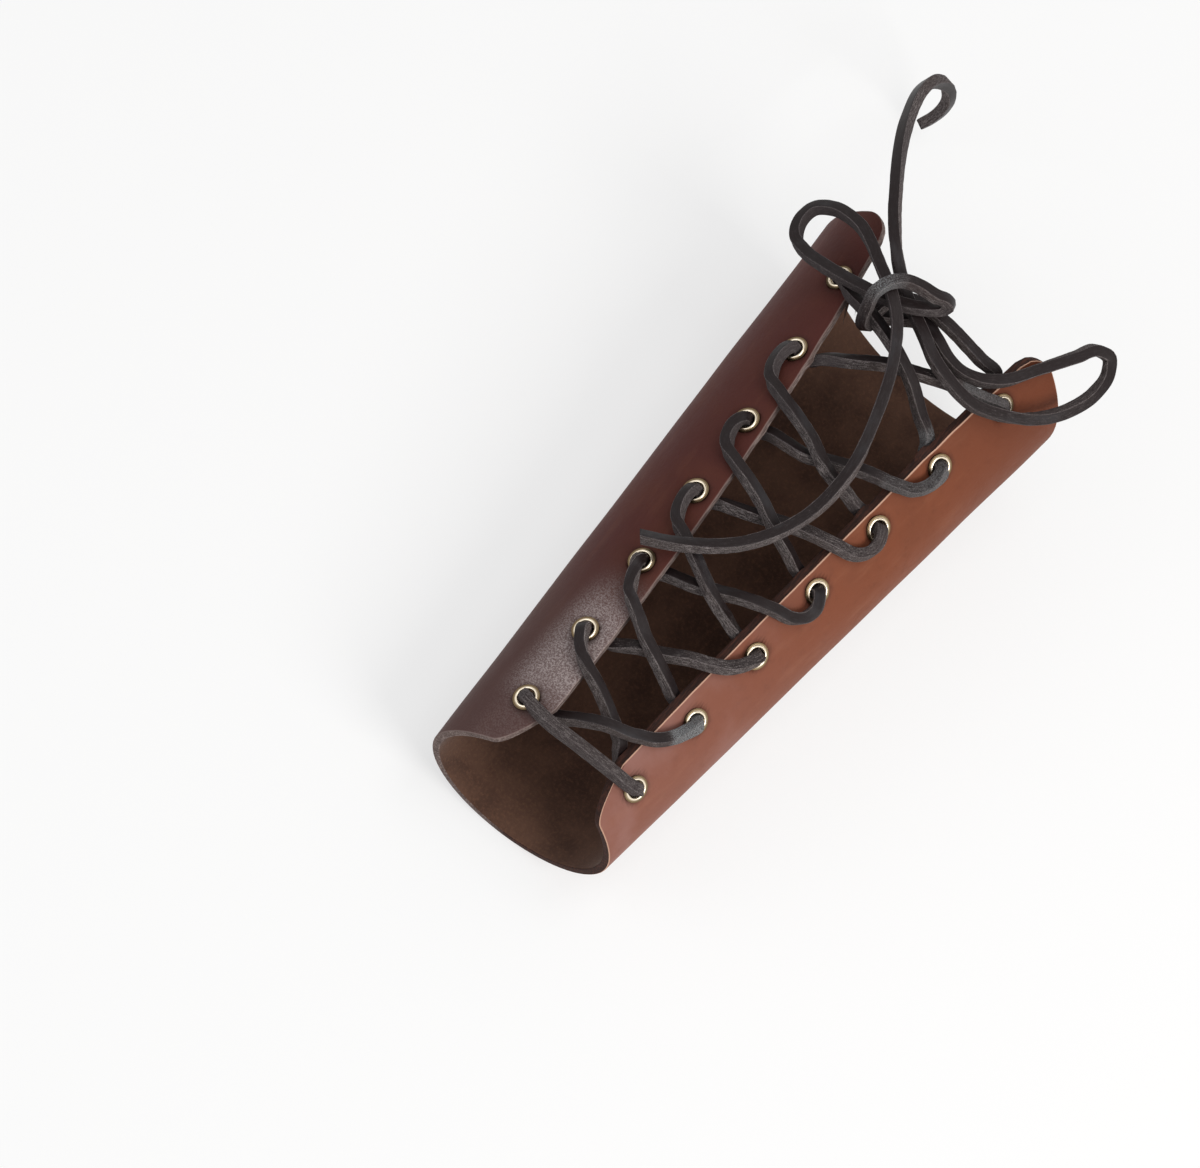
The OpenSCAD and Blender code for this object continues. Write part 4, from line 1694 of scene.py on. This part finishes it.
@dataclass
class Lace:
    """The whole lace: the held part and the two free ends that make the bow.

    Marks along each part say how it is rolled and worn in the photograph. The three parts start at
    different places of the noise, so that no two wander alike.
    """

    form: CuffForm
    held_wears: Marks = ((0.0, 0.0), (0.41, 0.1), (0.47, 0.75), (0.53, 0.75), (0.59, 0.1), (1.0, 0.0))
    right_wears: Marks = ((-0.075, 0.0), (-0.068, 1.5), (-0.055, 1.4), (-0.040, 0.3), (0.020, 0.4),
                          (0.040, 1.2))
    # The left flap's marks are painted shade: they darken the lace's cut sides round the left eyelets.
    left_shade_marks: Marks = ((-0.04, -0.1), (0.0, -0.45))
    left_end_rolls: Marks = ((0.0, 0.3), (0.3, 0.15), (1.0, 0.15))
    left_end_wears: Marks = ((0.0, -0.1), (0.09, 0.1), (0.13, 0.8), (0.25, 0.8), (0.29, -0.1),
                             (0.34, 0.95), (0.47, 0.95), (0.54, -0.2), (1.0, -0.2))
    right_end_rolls: Marks = ((0.0, 0.2), (0.25, 0.1), (0.7, 0.1), (0.8, 0.42), (1.0, 0.42))
    right_end_wears: Marks = ((0.0, -0.1), (0.14, 0.1), (0.17, 0.9), (0.2, 1.0), (0.225, 1.3),
                              (0.25, 1.1), (0.28, 0.0), (0.3, -0.3), (0.5, -0.5), (0.7, -0.5),
                              (0.8, 0.0), (1.0, 0.05))

    def _runs(self) -> tuple[LaceRun, LaceRun, LaceRun]:
        """The held part, the left end and the right end.

        Returns:
            The three parts.
        """
        route = LaceRoute(self.form)
        held = LaceRun("held_lace", "lacing", route.held(), self.form, wears=self.held_wears,
                       right_wears=self.right_wears, left_shade_marks=self.left_shade_marks)
        left = LaceRun("bow_left_lace", "lace_end_left", route.left_end(), self.form, start=3.0,
                       rolls=self.left_end_rolls, wears=self.left_end_wears, slant=0.3)
        right = LaceRun("bow_right_lace", "lace_end_right", route.right_end(), self.form, start=5.0,
                        rolls=self.right_end_rolls, wears=self.right_end_wears, slant=0.5)
        return held, left, right

    def build(self) -> list[bpy.types.Object]:
        """Returns:
            The three pieces.
        """
        leather = LaceLeather().material()
        held, left, right = self._runs()
        pieces = []
        for run in (held, left, right):
            pieces.append(run.build(leather))
            log.info("%s: %.0f mm long", run.name, run.length() * 1000)
        for run, piece in ((left, pieces[1]), (right, pieces[2])):
            round(run.length(), 3)
            ([tuple(p) for p in run.path[::4]]
                    + [tuple(run.path[-1])])
        return pieces


@dataclass(frozen=True)
class Lamp:
    """One soft square lamp, in metres and watts."""

    name: str
    place: Point
    size: float
    power: float
    colour: Point


@dataclass
class Studio:
    """The camera at the photograph's angle, soft lamps and a pale floor."""

    eye: Point = (-0.01256, -0.86163, 2.28425)
    turn: Point = (15.5575, -12.9624, 39.9752)
    lens: float = 214.953
    sensor: float = 36.0
    view_depth: float = 50.0
    aim: Point = (0.0, 0.0, 0.045)
    even_light: float = 0.42
    floor_size: float = 12.0
    lamps: tuple[Lamp, ...] = (
        Lamp("key_lamp", place=(1.15, -0.15, 1.25), size=0.9, power=16.0, colour=(1.0, 0.98, 0.95)),
        Lamp("fill_lamp", place=(-1.1, -0.9, 0.9), size=1.0, power=4.0, colour=(0.92, 0.95, 1.0)),
        Lamp("top_lamp", place=(0.1, 0.5, 1.9), size=0.8, power=6.0, colour=(1.0, 1.0, 1.0)),
    )

    def set_camera(self) -> None:
        """Adds the camera and shows colours as they are."""
        data = bpy.data.cameras.new("camera")
        data.sensor_width = self.sensor
        data.lens = self.lens
        data.clip_end = self.view_depth
        camera = bpy.data.objects.new("camera", data)
        camera.location = self.eye
        camera.rotation_euler = Euler([math.radians(a) for a in self.turn])
        bpy.context.collection.objects.link(camera)
        bpy.context.scene.camera = camera
        bpy.context.scene.view_settings.view_transform = "Standard"

    def _hang(self, lamp: Lamp) -> None:
        """Adds one lamp, which faces the object.

        Args:
            lamp: the lamp.
        """
        data = bpy.data.lights.new(lamp.name, "AREA")
        data.shape = "SQUARE"
        data.size = lamp.size
        data.energy = lamp.power
        data.color = lamp.colour
        hung = bpy.data.objects.new(lamp.name, data)
        hung.location = lamp.place
        hung.rotation_euler = (Vector(lamp.place) - Vector(self.aim)).to_track_quat("Z", "Y").to_euler()
        bpy.context.collection.objects.link(hung)

    def light(self) -> None:
        """Adds the lamps and the world's even light."""
        for lamp in self.lamps:
            self._hang(lamp)
        world = bpy.data.worlds.new("studio")
        bpy.context.scene.world = world
        g = Graph(world)
        even, bright = (g.add("ShaderNodeBackground", values={"Color": WHITE, "Strength": strength})
                        for strength in (self.even_light, 1.0))
        shown = g.add("ShaderNodeMixShader", values={0: g.seen(), 1: even, 2: bright})
        g.end(shown, "ShaderNodeOutputWorld")

    def lay_floor(self) -> None:
        """Adds the floor that the cuff lies on."""
        bpy.ops.object.select_all(action="DESELECT")
        bpy.ops.mesh.primitive_plane_add(size=self.floor_size, location=(0.0, 0.0, 0.0))
        floor = bpy.context.object
        floor.name = "floor"
        floor.data.materials.append(PaleFloor().material())


def main() -> None:
    logging.basicConfig(level=logging.INFO, format="%(message)s")
    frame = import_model()
    studio = Studio()
    studio.set_camera()
    form = CuffForm()
    for piece in Lace(form).build():
        log.info("%s: %d faces", piece.name, len(piece.data.polygons))
    sheet = Cuff(form).build()
    log.info("%s: %d faces", sheet.name, len(sheet.data.polygons))
    log.info("rings dressed: %d", Eyelets(form).dress(frame["nodes"]))
    studio.light()
    studio.lay_floor()


if __name__ == "__main__":
    main()
